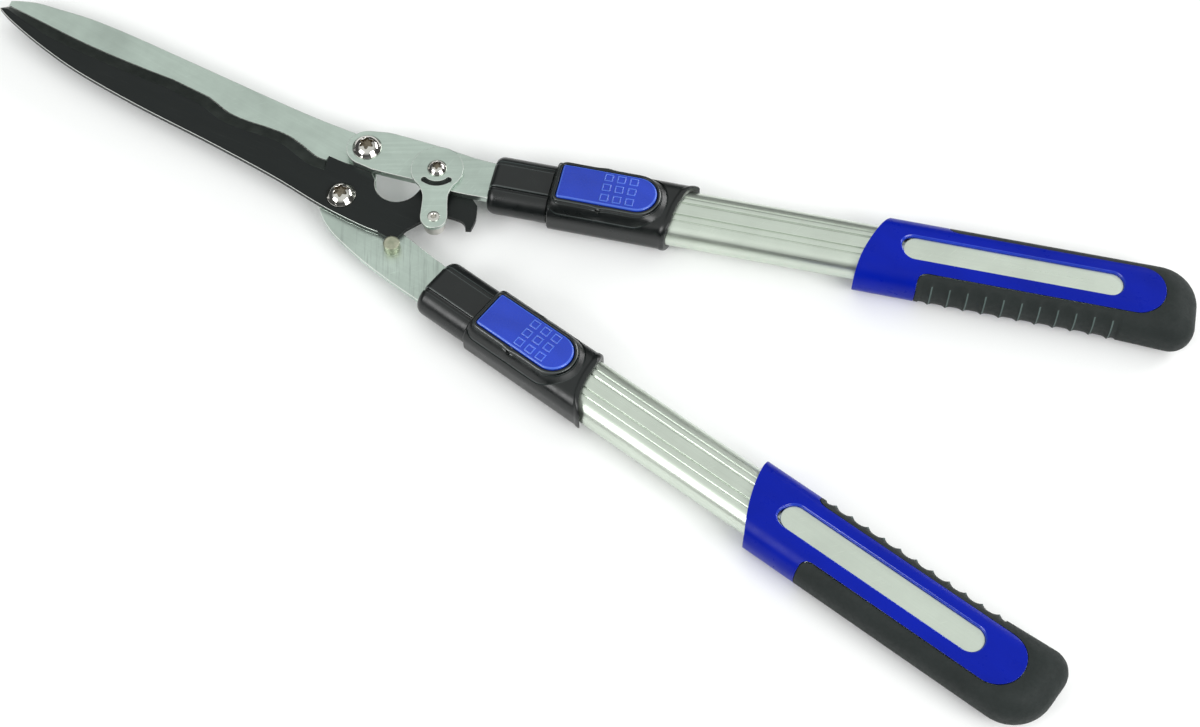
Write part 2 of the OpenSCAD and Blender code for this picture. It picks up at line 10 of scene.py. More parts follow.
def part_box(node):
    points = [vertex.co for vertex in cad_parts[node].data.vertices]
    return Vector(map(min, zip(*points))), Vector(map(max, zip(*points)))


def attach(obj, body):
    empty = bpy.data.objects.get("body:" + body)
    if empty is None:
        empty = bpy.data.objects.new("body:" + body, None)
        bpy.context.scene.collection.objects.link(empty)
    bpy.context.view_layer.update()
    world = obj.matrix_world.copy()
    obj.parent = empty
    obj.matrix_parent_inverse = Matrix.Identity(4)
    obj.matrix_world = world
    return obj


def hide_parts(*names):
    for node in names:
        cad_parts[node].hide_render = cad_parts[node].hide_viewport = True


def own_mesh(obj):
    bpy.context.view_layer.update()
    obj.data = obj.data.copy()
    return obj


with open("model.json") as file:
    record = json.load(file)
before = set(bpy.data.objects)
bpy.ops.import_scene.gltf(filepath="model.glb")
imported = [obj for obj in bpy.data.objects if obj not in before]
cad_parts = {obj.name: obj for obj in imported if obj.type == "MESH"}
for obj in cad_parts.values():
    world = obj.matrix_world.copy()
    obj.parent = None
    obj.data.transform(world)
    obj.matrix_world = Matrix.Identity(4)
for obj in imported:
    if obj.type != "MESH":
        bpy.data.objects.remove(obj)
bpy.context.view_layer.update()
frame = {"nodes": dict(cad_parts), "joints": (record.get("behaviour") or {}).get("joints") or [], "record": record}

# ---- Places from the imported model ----

MM = 0.001
JOINTS = {joint["name"]: joint for joint in frame["joints"]}
MAIN = Vector(JOINTS["blade_open"]["pos_m"])
HANDLE = Vector(JOINTS["handle_open"]["pos_m"])
CLOSER = Vector(JOINTS["closing_roller_spin"]["pos_m"])
MID_Z = MAIN.z
BUTTON_PIVOT = 62.5
BODIES = frame["record"]["behaviour"]["bodies"]
BODY_OF = {node: body for body, nodes in BODIES.items() for node in nodes}
SLOT_OF = {part["node"]: part["material_slot"] for part in frame["record"]["subparts"]}


class Side:
    """One handle's own axes: s along it, w towards its outer side, h up from its middle."""

    def __init__(self, name, outer):
        along = Vector(JOINTS[name + "_extend"]["axis"])
        pivot = Vector(JOINTS[name + "_lock_press"]["pos_m"])
        front = pivot - along * BUTTON_PIVOT * MM
        front.z = MID_Z
        self.name = name
        self.outer = outer
        self.angle = math.atan2(along.y, along.x)
        self.matrix = Matrix.Translation(front) @ Matrix.Rotation(self.angle, 4, "Z")


SIDES = [Side("lower", -1), Side("upper", 1)]


def top_of(node):
    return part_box(node)[1].z / MM


def bottom_of(node):
    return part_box(node)[0].z / MM


# ---- Materials ----

# Sockets of the colour mix node, which have no names of their own
MIX_FACTOR, MIX_A, MIX_B, MIX_RESULT = 0, 6, 7, 2


def put(node, key, value):
    """Sets a socket, or links it to another node's output."""
    if isinstance(value, bpy.types.NodeSocket):
        node.id_data.links.new(value, node.inputs[key])
    else:
        node.inputs[key].default_value = value


def add_node(tree, kind, **values):
    made = tree.nodes.new("ShaderNode" + kind)
    for key, value in values.items():
        put(made, key.replace("_", " "), value)
    return made


class Look:
    """A material under construction, with short calls for its procedural nodes."""

    def __init__(self, name, colour, roughness, metallic=0.0, angle=0.0, **sockets):
        self.material = bpy.data.materials.new(name)
        self.material.use_nodes = True
        self.tree = self.material.node_tree
        self.tree.nodes.clear()
        self.shader = self.node("BsdfPrincipled", Base_Color=(*colour, 1), Roughness=roughness,
                                Metallic=metallic, **sockets)
        self.node("OutputMaterial", Surface=self.shader.outputs["BSDF"])
        self.place = self.node("TexCoord").outputs["Object"]
        if angle:
            self.place = self.mapping(self.place, rotation=(0, 0, -angle))

    def node(self, kind, **values):
        return add_node(self.tree, kind, **values)

    def mapping(self, vector, rotation=(0, 0, 0), scale=(1, 1, 1)):
        return self.node("Mapping", Vector=vector, Rotation=rotation, Scale=scale).outputs["Vector"]

    def noise(self, scale, detail=3.0, rough=0.5, stretch=None, turn=0.0, warp=0.0):
        vector = self.place
        if turn:
            vector = self.mapping(vector, rotation=(0, 0, -turn))
        if stretch:
            vector = self.mapping(vector, scale=stretch)
        return self.node("TexNoise", Vector=vector, Scale=scale, Detail=detail, Roughness=rough,
                         Distortion=warp).outputs["Fac"]

    def cells(self, scale):
        return self.node("TexVoronoi", Vector=self.place, Scale=scale).outputs["Distance"]

    def axis(self, which):
        return self.node("SeparateXYZ", Vector=self.place).outputs[which]

    def span(self, value, low, high, to_low=0.0, to_high=1.0, smooth=False):
        node = self.node("MapRange", Value=value, From_Min=low, From_Max=high, To_Min=to_low, To_Max=to_high)
        node.interpolation_type = "SMOOTHSTEP" if smooth else "LINEAR"
        return node.outputs["Result"]

    def math(self, operation, a, b):
        node = self.node("Math")
        node.operation = operation
        put(node, 0, a)
        put(node, 1, b)
        return node.outputs[0]

    def blend(self, factor, a, b):
        node = self.node("Mix")
        node.data_type = "RGBA"
        put(node, MIX_FACTOR, factor)
        for index, tint in ((MIX_A, a), (MIX_B, b)):
            put(node, index, tint if isinstance(tint, bpy.types.NodeSocket) else (*tint, 1))
        return node.outputs[MIX_RESULT]

    def colour(self, value):
        put(self.shader, "Base Color", value)

    def clouded(self, field, dark, pale):
        """Base colour between two tones where a noise field goes from low to high."""
        self.colour(self.blend(self.span(field, 0.3, 0.7), dark, pale))

    def roughness(self, field, smoothest, roughest, low=0.3, high=0.7):
        put(self.shader, "Roughness", self.span(field, low, high, smoothest, roughest))

    def bump(self, *layers):
        """Layers of (height, strength, depth), each laid over the one before."""
        normal = None
        for height, strength, depth in layers:
            node = self.node("Bump", Height=height, Strength=strength, Distance=depth)
            if normal is not None:
                put(node, "Normal", normal)
            normal = node.outputs["Normal"]
        put(self.shader, "Normal", normal)
        return self


def shade(colour, factor):
    return tuple(min(c * factor, 1) for c in colour)


def brushed(name, colour, roughness, angle=0.0, grain=1.0, mottle=0.12, worn=0.0):
    """Satin metal with fine lines along its length, soft cloudy tone and a few handling marks."""
    look = Look(name, colour, roughness, 1.0, angle)
    fine = look.noise(1, 4, 0.6, (45, 3600, 3600))
    broad = look.noise(1, 3, 0.5, (12, 620, 620))
    cloud = look.noise(38, 4, 0.55)
    lines = look.span(look.math("ADD", fine, broad), 0.7, 1.3)
    tone = look.blend(look.span(cloud, 0.3, 0.7), shade(colour, 1 - mottle), shade(colour, 1 + mottle))
    tone = look.blend(look.math("MULTIPLY", lines, 0.35 * grain), tone, shade(colour, 1 - 0.28 * grain))
    if worn:
        marks = look.noise(1, 2, 0.5, (90, 1500, 900), turn=0.9, warp=0.3)
        nicks = look.span(marks, 0.66, 0.72)
        tone = look.blend(look.math("MULTIPLY", nicks, worn), tone, shade(colour, 1.35))
    look.colour(tone)
    look.tone = tone
    look.roughness(lines, roughness - 0.07, roughness + 0.09, 0, 1)
    return look.bump((fine, 0.25 * grain, 0.00006), (cloud, 0.1, 0.0004))


def moulded(name, colour, roughness, grain=0.25, lift=1.25, **sockets):
    """Injection-moulded plastic: fine spark-eroded grain over slow sink marks."""
    look = Look(name, colour, roughness, **sockets)
    fine = look.noise(2600, 2, 0.5)
    flow = look.noise(24, 3, 0.5, (1, 2.4, 2.4))
    dust = look.noise(160, 5, 0.65)
    look.clouded(flow, shade(colour, 0.88), shade(colour, lift))
    look.roughness(dust, roughness - 0.05, roughness + 0.1, 0.3, 0.75)
    return look.bump((fine, grain, 0.00006), (flow, 0.12, 0.0006))


def blade_steel():
    """Satin steel, with coarse slanting grinding marks on the tang behind the pivot."""
    blade = brushed("blade_satin_steel", (0.56, 0.65, 0.59), 0.38, grain=0.6, worn=0.25)
    tang_from = MAIN.x + 4 * MM
    on_tang = blade.span(blade.axis("X"), tang_from, tang_from + 14 * MM, 0, 0.6, smooth=True)
    across = blade.noise(1, 4, 0.7, (620, 26, 26), turn=0.6)
    fine = blade.noise(1, 4, 0.6, (45, 3600, 3600))
    scratch = blade.math("MULTIPLY", blade.span(across, 0.5, 0.68), on_tang)
    blade.colour(blade.blend(scratch, blade.tone, (0.33, 0.38, 0.35)))
    return blade.bump((fine, 0.25, 0.00006), (across, on_tang, 0.00012))


def blade_coating():
    """Black non-stick coating with orange peel, smears and rubbed places."""
    coat = Look("blade_black_coating", (0.008, 0.0105, 0.01), 0.4, Specular_IOR_Level=0.25)
    peel = coat.noise(1500, 3, 0.5)
    smear = coat.noise(1, 4, 0.6, (30, 160, 160))
    rub = coat.span(coat.noise(1, 3, 0.6, (50, 2600, 900), turn=0.12), 0.62, 0.74)
    worn = coat.math("MULTIPLY", rub, 0.35)
    coat.colour(coat.blend(worn, (0.0075, 0.0098, 0.0095), (0.035, 0.039, 0.037)))
    coat.roughness(smear, 0.3, 0.46)
    return coat.bump((peel, 0.2, 0.00008), (smear, 0.1, 0.0004))


def ground_bevel():
    look = Look("blade_ground_bevel", (0.1, 0.105, 0.085), 0.36, 1.0)
    stone = look.noise(1, 4, 0.65, (2900, 60, 60))
    look.clouded(look.noise(60, 4, 0.6), (0.055, 0.065, 0.06), (0.115, 0.13, 0.12))
    look.roughness(stone, 0.28, 0.45)
    return look.bump((stone, 0.4, 0.0001))


# Pale polished metal: real on the blades' honed cutting edges; on the plates' rounded outline edges it is painted
# highlight.
def honed_and_painted_highlight_edge():
    look = Look("blade_honed_edge", (0.9, 0.91, 0.88), 0.22, 1.0)
    hone = look.noise(1, 3, 0.6, (3600, 200, 200))
    look.roughness(hone, 0.16, 0.32)
    return look.bump((hone, 0.2, 0.00005))


def bright_nickel():
    look = Look("bolt_bright_nickel", (0.86, 0.86, 0.84), 0.12, 1.0)
    haze = look.noise(240, 4, 0.6)
    look.clouded(haze, (0.6, 0.585, 0.55), (0.72, 0.7, 0.66))
    look.roughness(haze, 0.05, 0.13, 0.25, 0.75)
    return look.bump((look.noise(2200, 3, 0.6), 0.08, 0.00005))


# Dark brownish metal for the inside of the bolts' sockets: painted shade in the recess.
def socket_painted_shade():
    look = Look("bolt_socket_oiled", (0.16, 0.14, 0.11), 0.35, 1.0)
    socket_shade_cloud = look.noise(500, 4, 0.6)
    look.clouded(socket_shade_cloud, (0.1, 0.088, 0.07), (0.3, 0.26, 0.2))
    look.roughness(socket_shade_cloud, 0.22, 0.45)
    return look.bump((socket_shade_cloud, 0.3, 0.0001))


def plain_zinc():
    look = Look("hardware_zinc", (0.6, 0.61, 0.6), 0.34, 1.0)
    film = look.noise(90, 4, 0.6)
    look.clouded(film, (0.52, 0.54, 0.54), (0.7, 0.7, 0.67))
    look.roughness(look.cells(700), 0.26, 0.44, 0, 0.8)
    return look.bump((film, 0.15, 0.0002))


def yellow_zinc():
    look = Look("stop_pin_yellow_zinc", (0.44, 0.45, 0.34), 0.34, 1.0)
    turned_marks = look.noise(1, 3, 0.6, (400, 400, 4200))
    look.clouded(look.noise(260, 4, 0.6), (0.36, 0.38, 0.28), (0.54, 0.54, 0.42))
    look.roughness(turned_marks, 0.26, 0.42)
    return look.bump((turned_marks, 0.25, 0.00006))


def soft_rubber(key, lift):
    look = Look(key + "_soft", shade((0.0095, 0.014, 0.013), lift), 0.62, Specular_IOR_Level=0.3)
    cloud = look.noise(55, 4, 0.6)
    look.clouded(cloud, shade((0.008, 0.012, 0.0112), lift), shade((0.0125, 0.0175, 0.0165), lift))
    look.roughness(look.noise(420, 4, 0.7), 0.56, 0.74)
    return look.bump((look.cells(1700), 0.35, 0.00012), (cloud, 0.1, 0.0005))


def make_looks():
    made = {
        "blade_steel": blade_steel(),
        "link_steel": brushed("link_satin_steel", (0.54, 0.63, 0.57), 0.32, 0.6, worn=0.3),
        "blade_black": blade_coating(),
        "ground": ground_bevel(),
        "honed": honed_and_painted_highlight_edge(),
        "bolt_chrome": bright_nickel(),
        "socket": socket_painted_shade(),
        "hardware_steel": plain_zinc(),
        "stop_zinc": yellow_zinc(),
        "sleeve_plastic": moulded("sleeve_black_plastic", (0.003, 0.0045, 0.0045), 0.3, 0.3,
                                  Specular_IOR_Level=0.5),
        # Lighter black for the collar's groove edges and the bezel's rims: painted highlight lines where these
        # edges catch light.
        "sleeve_edge": moulded("sleeve_black_edge", (0.035, 0.043, 0.042), 0.2, 0.1,
                               Specular_IOR_Level=0.8),
        "button_plastic": moulded("button_blue_plastic", (0.012, 0.04, 0.4), 0.24, 0.06, 1.15,
                                  Specular_IOR_Level=0.4),
        # Lighter blue for the raised squares and the button's rounded edge: painted highlight.
        "button_raised": moulded("button_blue_raised", (0.05, 0.12, 0.58), 0.16, 0.05, 1.15,
                                 Specular_IOR_Level=0.7),
        # Lighter blue for the grip shell's bevels: painted highlight.
        "grip_edge": moulded("grip_blue_edge", (0.01, 0.035, 0.42), 0.2, 0.05, 1.12,
                             Specular_IOR_Level=0.6),
        "grip_plastic": moulded("grip_blue_plastic", (0.0005, 0.009, 0.29), 0.3, 0.1, 1.12,
                                Specular_IOR_Level=0.12),
        "grip_rubber": soft_rubber("grip_rubber", 1),
        # Seven times lighter rubber on the finger ridges' crests: painted highlight along the crests.
        "rubber_crest": soft_rubber("rubber_crest", 7),
    }
    for side in SIDES:
        name = side.name + "_anodised_tube"
        made[side.name + "_tube"] = brushed(name, (0.66, 0.72, 0.64), 0.33, side.angle, 0.8, 0.06, 0.2)
    return {key: look.material for key, look in made.items()}


LOOKS = make_looks()

# ---- Meshes ----


def finished(obj, modifiers):
    """Gives the object its modified mesh for good."""
    for kind, values in modifiers:
        modifier = obj.modifiers.new(kind.lower(), kind)
        for key, value in values.items():
            setattr(modifier, key, value)
    graph = bpy.context.evaluated_depsgraph_get()
    mesh = bpy.data.meshes.new_from_object(obj.evaluated_get(graph))
    old = obj.data
    obj.modifiers.clear()
    obj.data = mesh
    bpy.data.meshes.remove(old)


def placed(name, data):
    """A new object in the scene."""
    obj = bpy.data.objects.new(name, data)
    bpy.context.scene.collection.objects.link(obj)
    return obj


def raw(name, verts, faces, looks, side=None, kinds=None):
    """An unshaded mesh object from millimetre points, in the row frame or a handle's axes."""
    flip = side.outer if side else 1
    mesh = bpy.data.meshes.new(name)
    mesh.from_pydata([(x * MM, y * flip * MM, z * MM) for x, y, z in verts], [], faces)
    for look in looks:
        mesh.materials.append(LOOKS[look])
    if kinds:
        mesh.polygons.foreach_set("material_index", kinds)
    work = bmesh.new()
    work.from_mesh(mesh)
    bmesh.ops.remove_doubles(work, verts=work.verts, dist=1e-7)
    bmesh.ops.dissolve_degenerate(work, edges=work.edges, dist=1e-7)
    bmesh.ops.recalc_face_normals(work, faces=work.faces)
    work.to_mesh(mesh)
    work.free()
    return placed(name, mesh)


def cut(obj, cutters):
    for cutter in cutters:
        finished(obj, [("BOOLEAN", {"object": cutter, "operation": "DIFFERENCE", "solver": "MANIFOLD"})])
        mesh = cutter.data
        bpy.data.objects.remove(cutter)
        bpy.data.meshes.remove(mesh)


def settle(obj, node, side=None, sharp=34, replaces=True):
    """Puts the piece in the row's frame, shades it and lets it ride on its CAD node's body."""
    if side:
        obj.data.transform(side.matrix)
    obj.data.shade_smooth()
    obj.data.set_sharp_from_angle(angle=math.radians(sharp))
    finished(obj, [("WEIGHTED_NORMAL", {"keep_sharp": True, "weight": 60})])
    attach(obj, BODY_OF[node])
    if replaces:
        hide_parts(node)
    return obj


def show(node, shape, looks, side=None, kinds=None, sharp=34):
    """A finished piece that stands for its CAD node."""
    return settle(raw(node + "_shown", *shape, looks, side, kinds), node, side, sharp)


def sheet(rows, around=True, along=False):
    """Points and quads between rows of equal length, which may close round each row or along them."""
    n = len(rows[0])
    verts = [point for row in rows for point in row]
    faces = []
    for j in range(len(rows) if along else len(rows) - 1):
        a = j * n
        b = (j + 1) % len(rows) * n
        for i in range(n if around else n - 1):
            k = (i + 1) % n
            faces.append((a + i, a + k, b + k, b + i))
    return verts, faces


def loft(rings, wrap=False):
    """Quads between closed rings, ended by faces or run back onto the first ring."""
    verts, faces = sheet(rings, along=wrap)
    if not wrap:
        n = len(rings[0])
        faces.append(tuple(reversed(range(n))))
        faces.append(tuple(range(len(verts) - n, len(verts))))
    return verts, faces


def circle(r, count):
    angles = [2 * math.pi * i / count for i in range(count)]
    return [(r * math.cos(a), r * math.sin(a)) for a in angles]


def join(*parts):
    verts = []
    faces = []
    for part_verts, part_faces in parts:
        base = len(verts)
        verts += part_verts
        faces += [tuple(base + i for i in face) for face in part_faces]
    return verts, faces


# ---- Sections across a handle ----

TUBE_W = 33.5
TUBE_T = 19.0
BAND_H = 0.4


def mirrored(quarter):
    """The whole closed section from its upper outer quarter."""
    lower = [(w, -h) for w, h in reversed(quarter[:-1])]
    left = [(-w, -h) for w, h in quarter[1:]]
    upper = [(-w, h) for w, h in reversed(quarter[1:-1])]
    return quarter + lower + left + upper


def on_oval(x, w, t):
    """Height of a flat oval's surface at a distance from its middle."""
    r = t / 2
    a = w / 2 - r
    return r if x <= a else math.sqrt(max(r * r - (x - a) ** 2, 0))


def oval_flank(x, w, t, steps=12):
    """The oval's flank from a distance x out to its side, as part of a quarter section."""
    r = t / 2
    a = w / 2 - r
    start = math.acos((x - a) / r)
    return [(a + r * math.cos(start * (1 - i / steps)), r * math.sin(start * (1 - i / steps)))
            for i in range(steps + 1)]


def banded(w, t):
    """The tube: a flat oval with a raised band on each face and two grooves beside it."""
    def on(x):
        return on_oval(x, w, t)

    top = t / 2 + BAND_H
    low = t / 2
    quarter = [(0, top), (1.6, top), (3.0, top), (3.4, top - 0.05), (3.6, top - 0.2)]
    quarter += [(3.66, low - 0.35), (3.78, low - 0.48), (4.3, low - 0.5), (4.46, low - 0.4)]
    quarter += [(4.54, low + 0.1), (4.72, low + 0.26)]
    quarter += [(5.6, low + 0.28), (6.6, low + 0.24), (7.3, low + 0.12), (7.52, low), (7.6, low - 0.4)]
    quarter += [(7.74, low - 0.52), (8.2, low - 0.55), (8.36, low - 0.45), (8.44, on(8.44) - 0.1)]
    return mirrored(quarter + oval_flank(8.6, w, t))


def shouldered(w, t):
    """The collar: a flat oval with a broad flat band on each face and a deep groove beside it."""
    top = t / 2 + BAND_H
    low = t / 2
    quarter = [(0, top), (2.5, top), (5.6, top), (6.9, top), (7.3, top - 0.06), (7.5, top - 0.24)]
    quarter += [(7.6, low - 0.3), (7.75, low - 1.1), (8.0, low - 1.35), (9.3, low - 1.45)]
    quarter += [(9.6, low - 1.3)]
    quarter += [(9.75, on_oval(9.75, w, t) - 0.35), (9.86, on_oval(9.86, w, t) - 0.1)]
    return mirrored(quarter + oval_flank(10.05, w, t))


def rounded(w, t, r, steps=10):
    a = w / 2 - r
    b = t / 2 - r
    quarter = [(0, t / 2), (a / 2, t / 2)]
    quarter += [(a + r * math.sin(math.pi / 2 * i / steps), b + r * math.cos(math.pi / 2 * i / steps))
                for i in range(steps + 1)]
    if b > 0.01:
        quarter.append((w / 2, 0))
    return mirrored(quarter)


def core_of(point, w, t, r):
    a = w / 2 - r
    b = t / 2 - r
    return max(-a, min(a, point[0])), max(-b, min(b, point[1]))


def onto(section, w, t, r):
    """Each point of a section moved to the nearest place on a rounded rectangle."""
    moved = []
    for point in section:
        c = core_of(point, w, t, r)
        d = math.hypot(point[0] - c[0], point[1] - c[1])
        moved.append((c[0] + (point[0] - c[0]) * r / d, c[1] + (point[1] - c[1]) * r / d))
    return moved


def inset(section, depth, w, t, r):
    moved = []
    for point in section:
        c = core_of(point, w, t, r)
        d = math.hypot(point[0] - c[0], point[1] - c[1])
        keep = 1 - depth / d
        moved.append((c[0] + (point[0] - c[0]) * keep, c[1] + (point[1] - c[1]) * keep))
    return moved


def at(section, station):
    """A section as a ring at a station, which may be a number or a function of w."""
    if callable(station):
        return [(station(w), w, h) for w, h in section]
    return [(station, w, h) for w, h in section]


def unit(x):
    return max(0.0, min(1.0, x))


def smooth_step(x):
    x = unit(x)
    return x * x * (3 - 2 * x)


def hermite(t):
    """Weights of the start, its slope, the end and its slope at a share t of a smooth curve."""
    return 2 * t ** 3 - 3 * t ** 2 + 1, t ** 3 - 2 * t ** 2 + t, 3 * t ** 2 - 2 * t ** 3, t ** 3 - t ** 2


def spline(keys, x):
    """Smooth curve through (x, y) keys with rising x."""
    if x <= keys[0][0]:
        return keys[0][1]
    if x >= keys[-1][0]:
        return keys[-1][1]
    for i in range(len(keys) - 1):
        if keys[i][0] <= x <= keys[i + 1][0]:
            break

    def slope(k):
        lo = max(k - 1, 0)
        hi = min(k + 1, len(keys) - 1)
        return (keys[hi][1] - keys[lo][1]) / (keys[hi][0] - keys[lo][0])

    (x0, y0), (x1, y1) = keys[i], keys[i + 1]
    d = x1 - x0
    values = (y0, slope(i) * d, y1, slope(i + 1) * d)
    return sum(weight * value for weight, value in zip(hermite((x - x0) / d), values))


# ---- Plates ----

def loops_of(node, level):
    """The closed outlines of a CAD node's flat face at a height, in millimetres, longest first."""
    mesh = frame["nodes"][node].data
    points = [(round(v.co.x / MM, 3), round(v.co.y / MM, 3)) for v in mesh.vertices]
    edges = {}
    for poly in mesh.polygons:
        if abs(poly.normal.z) > 0.99 and abs(poly.center.z / MM - level) < 0.02:
            keys = [points[i] for i in poly.vertices]
            for a, b in zip(keys, keys[1:] + keys[:1]):
                if edges.pop((b, a), None) is None:
                    edges[(a, b)] = True
    follow = dict(edges.keys())
    loops = []
    while follow:
        start = next(iter(follow))
        loop = [start]
        here = follow.pop(start)
        while here != start:
            loop.append(here)
            here = follow.pop(here)
        loops.append(loop)
    loops.sort(key=len_of, reverse=True)
    return [cleaned(loop) for loop in loops]


def corners(loop):
    """Each point of a loop with the ones before and after it."""
    return zip(loop[-1:] + loop[:-1], loop, loop[1:] + loop[:1])


def len_of(loop):
    return sum(math.dist(a, b) for a, b in zip(loop, loop[1:] + loop[:1]))


def cleaned(loop):
    """Drops points in the middle of straight runs and doubles."""
    kept = []
    for a, b, c in corners(loop):
        if math.dist(a, b) < 0.02:
            continue
        cross = (b[0] - a[0]) * (c[1] - b[1]) - (b[1] - a[1]) * (c[0] - b[0])
        if abs(cross) > 1e-4 * math.dist(a, b) * max(math.dist(b, c), 1e-6):
            kept.append(b)
    return kept


def turning(loop):
    """Signed turn at each point of a loop, in degrees."""
    out = []
    for a, b, c in corners(loop):
        u = math.atan2(b[1] - a[1], b[0] - a[0])
        v = math.atan2(c[1] - b[1], c[0] - b[0])
        out.append(math.degrees((v - u + math.pi) % (2 * math.pi) - math.pi))
    return out


def refined(loop, longest=2.2):
    """Adds points on a smooth curve along the edges that turn gently at their ends."""
    turn = turning(loop)
    n = len(loop)
    out = []
    for i in range(n):
        a, b, c, d = (Vector(loop[k % n]) for k in (i - 1, i, i + 1, i + 2))
        out.append(tuple(b))
        chord = c - b
        length = chord.length

        def heading(bend, back, ahead):
            shorter = min(back.length, ahead.length)
            if abs(bend) > 24 or shorter < 0.25 * length:
                return chord
            mean = back.normalized() * ahead.length + ahead.normalized() * back.length
            return mean.normalized() * length

        m0 = heading(turn[i], b - a, chord)
        m1 = heading(turn[(i + 1) % n], chord, d - c)
        straight = m0 is chord and m1 is chord
        parts = math.ceil(length / (3 * longest if straight else longest))
        for k in range(1, parts):
            weights = hermite(k / parts)
            out.append(tuple(b * weights[0] + m0 * weights[1] + c * weights[2] + m1 * weights[3]))
    return out


def inward(loop):
    """Unit normals into the material of a counter-clockwise outline, mitred at corners."""
    out = []
    for a, b, c in corners([Vector(p) for p in loop]):
        u = (b - a).normalized()
        v = (c - b).normalized()
        normal = Vector((-u.y - v.y, u.x + v.x))
        if normal.length < 1e-6:
            normal = Vector((-u.y, u.x))
        normal.normalize()
        out.append(normal / max(normal.dot(Vector((-u.y, u.x))), 0.5))
    return out


def area_of(loop):
    return sum(a[0] * b[1] - b[0] * a[1] for a, b in zip(loop, loop[1:] + loop[:1])) / 2


# Look of each strip round a ground edge, counted from the face opposite the bevel
BEVEL_LOOKS = (1, 1, 1, 2, 0)


def plate(node, looks, outline_z, edge=0.3, ground=None, dull=None):
    """A sheet-metal plate with broken edges from its CAD outline.

    ground, if given, says for an outline point how wide and deep its ground bevel is, and
    which face it is on; looks are face, edge and ground bevel.
    """
    low = bottom_of(node)
    high = top_of(node)
    loops = [refined(loop) for loop in loops_of(node, low if outline_z == "low" else high)]
    verts = []
    faces = []
    kinds = []
    tops = []
    bottoms = []
    for number, loop in enumerate(loops):
        wanted = 1 if number == 0 else -1
        if area_of(loop) * wanted < 0:
            loop.reverse()
        normals = inward(loop)
        small = edge if number == 0 else 0.2
        rings = [[] for _ in range(6)]
        marks = []
        for p, m in zip(loop, normals):
            width, depth, up = ground(p) if ground and number == 0 else (0, 0, 1)
            marks.append(width > 0.8)
            x, y = p

            def put(ring, d, z):
                rings[ring].append((x + m.x * d, y + m.y * d, z))

            if width > 0.8:
                thin = 0.12
                steep = min(0.9, width * 0.25)
                if up > 0:
                    put(0, small * 0.3, low)
                    put(1, 0, low + thin)
                    put(2, 0.02, low + thin * 2)
                    put(3, steep, high - depth)
                    put(4, width, high - 0.03)
                    put(5, width + 0.12, high)
                else:
                    put(5, small * 0.3, high)
                    put(4, 0, high - thin)
                    put(3, 0.02, high - thin * 2)
                    put(2, steep, low + depth)
                    put(1, width, low + 0.03)
                    put(0, width + 0.12, low)
            else:
                put(0, small, low)
                put(1, small * 0.3, low + small * 0.3)
                put(2, 0, low + small)
                put(3, 0, high - small)
                put(4, small * 0.3, high - small * 0.3)
                put(5, small, high)
        n = len(loop)
        base = len(verts)
        for ring in rings:
            verts += ring
        for r in range(5):
            a = base + r * n
            for i in range(n):
                k = (i + 1) % n
                faces.append((a + i, a + k, a + n + k, a + n + i))
                if marks[i] or marks[k]:
                    strip = r if ground(loop[i])[2] > 0 else 4 - r
                    kinds.append(BEVEL_LOOKS[strip])
                else:
                    # Rounded outline edges take the pale metal: painted highlight lines.
                    kinds.append(1 if r != 2 and not (dull and dull(loop[i])) else 0)
        bottoms.append([base + i for i in range(n)])
        tops.append([base + 5 * n + i for i in range(n)])
    for group, reverse in ((tops, False), (bottoms, True)):
        flat = [i for ring in group for i in ring]
        for tri in tessellate_polygon([[Vector(verts[i]) for i in ring] for ring in group]):
            face = tuple(flat[i] for i in tri)
            faces.append(tuple(reversed(face)) if reverse else face)
            kinds.append(0)
    show(node, (verts, faces), looks, kinds=kinds, sharp=28)


# ---- Blades and linkage plates ----

# Reach of the blades from the main pivot, depth of their ground bevels, and where the cam plate starts
TIP = 247
GROUND_DEPTH = 2.3
CAM_FROM = 30


def from_main(p):
    return p[0] - MAIN.x / MM, p[1] - MAIN.y / MM


def wave_ground(p):
    """The moving blade's bevel: 8.4 mm wide behind the wave edge, narrowing into the tip."""
    x, y = from_main(p)
    if y > 3.4 and x < -22.8:
        spine = spline([(-TIP, 2.5), (-236, 5.1), (-211, 9.7), (-179, 13)], x)
        return min(8.4, 0.55 * (y + spine)), GROUND_DEPTH, 1
    return 0, 0, 1


def straight_ground(p):
    """The fixed blade's bevel, on its underside along the straight edge."""
    x, y = from_main(p)
    if y < 3.3 and x < -28:
        spine = spline([(-TIP, 7.2), (-233, 14.5), (-198, 22.5)], x)
        return min(9.0, 0.6 * (spine - y)), GROUND_DEPTH, -1
    return 0, 0, -1


plate("fixed_blade", ["blade_steel", "honed", "ground"], "high", 0.25, straight_ground)
plate("cutting_blade", ["blade_black", "honed", "ground"], "low", 0.22, wave_ground,
      dull=lambda p: from_main(p)[0] > CAM_FROM)
plate("upper_tang", ["link_steel", "honed"], "high", 0.35)
plate("link_plate", ["link_steel", "honed"], "high", 0.3)


def slot_shadow(node, thick=0.5):
    """A dark sheet at the bottom of each arc slot that goes through the plate: painted shadow in the slot."""
    low = bottom_of(node)
    parts = []
    for loop in loops_of(node, top_of(node))[1:]:
        middle = Vector((sum(p[0] for p in loop), sum(p[1] for p in loop))) / len(loop)
        reach = [(Vector(p) - middle).length for p in loop]
        if max(reach) < 2 * min(reach):
            continue
        parts.append(loft([[(x, y, z) for x, y in loop] for z in (low + 0.02, low + thick)]))
    if parts:
        settle(raw(node + "_slot_liner", *join(*parts), ["blade_black"]), node, replaces=False)


slot_shadow("link_plate")

# ---- Turned hardware ----

SPOKES = 72


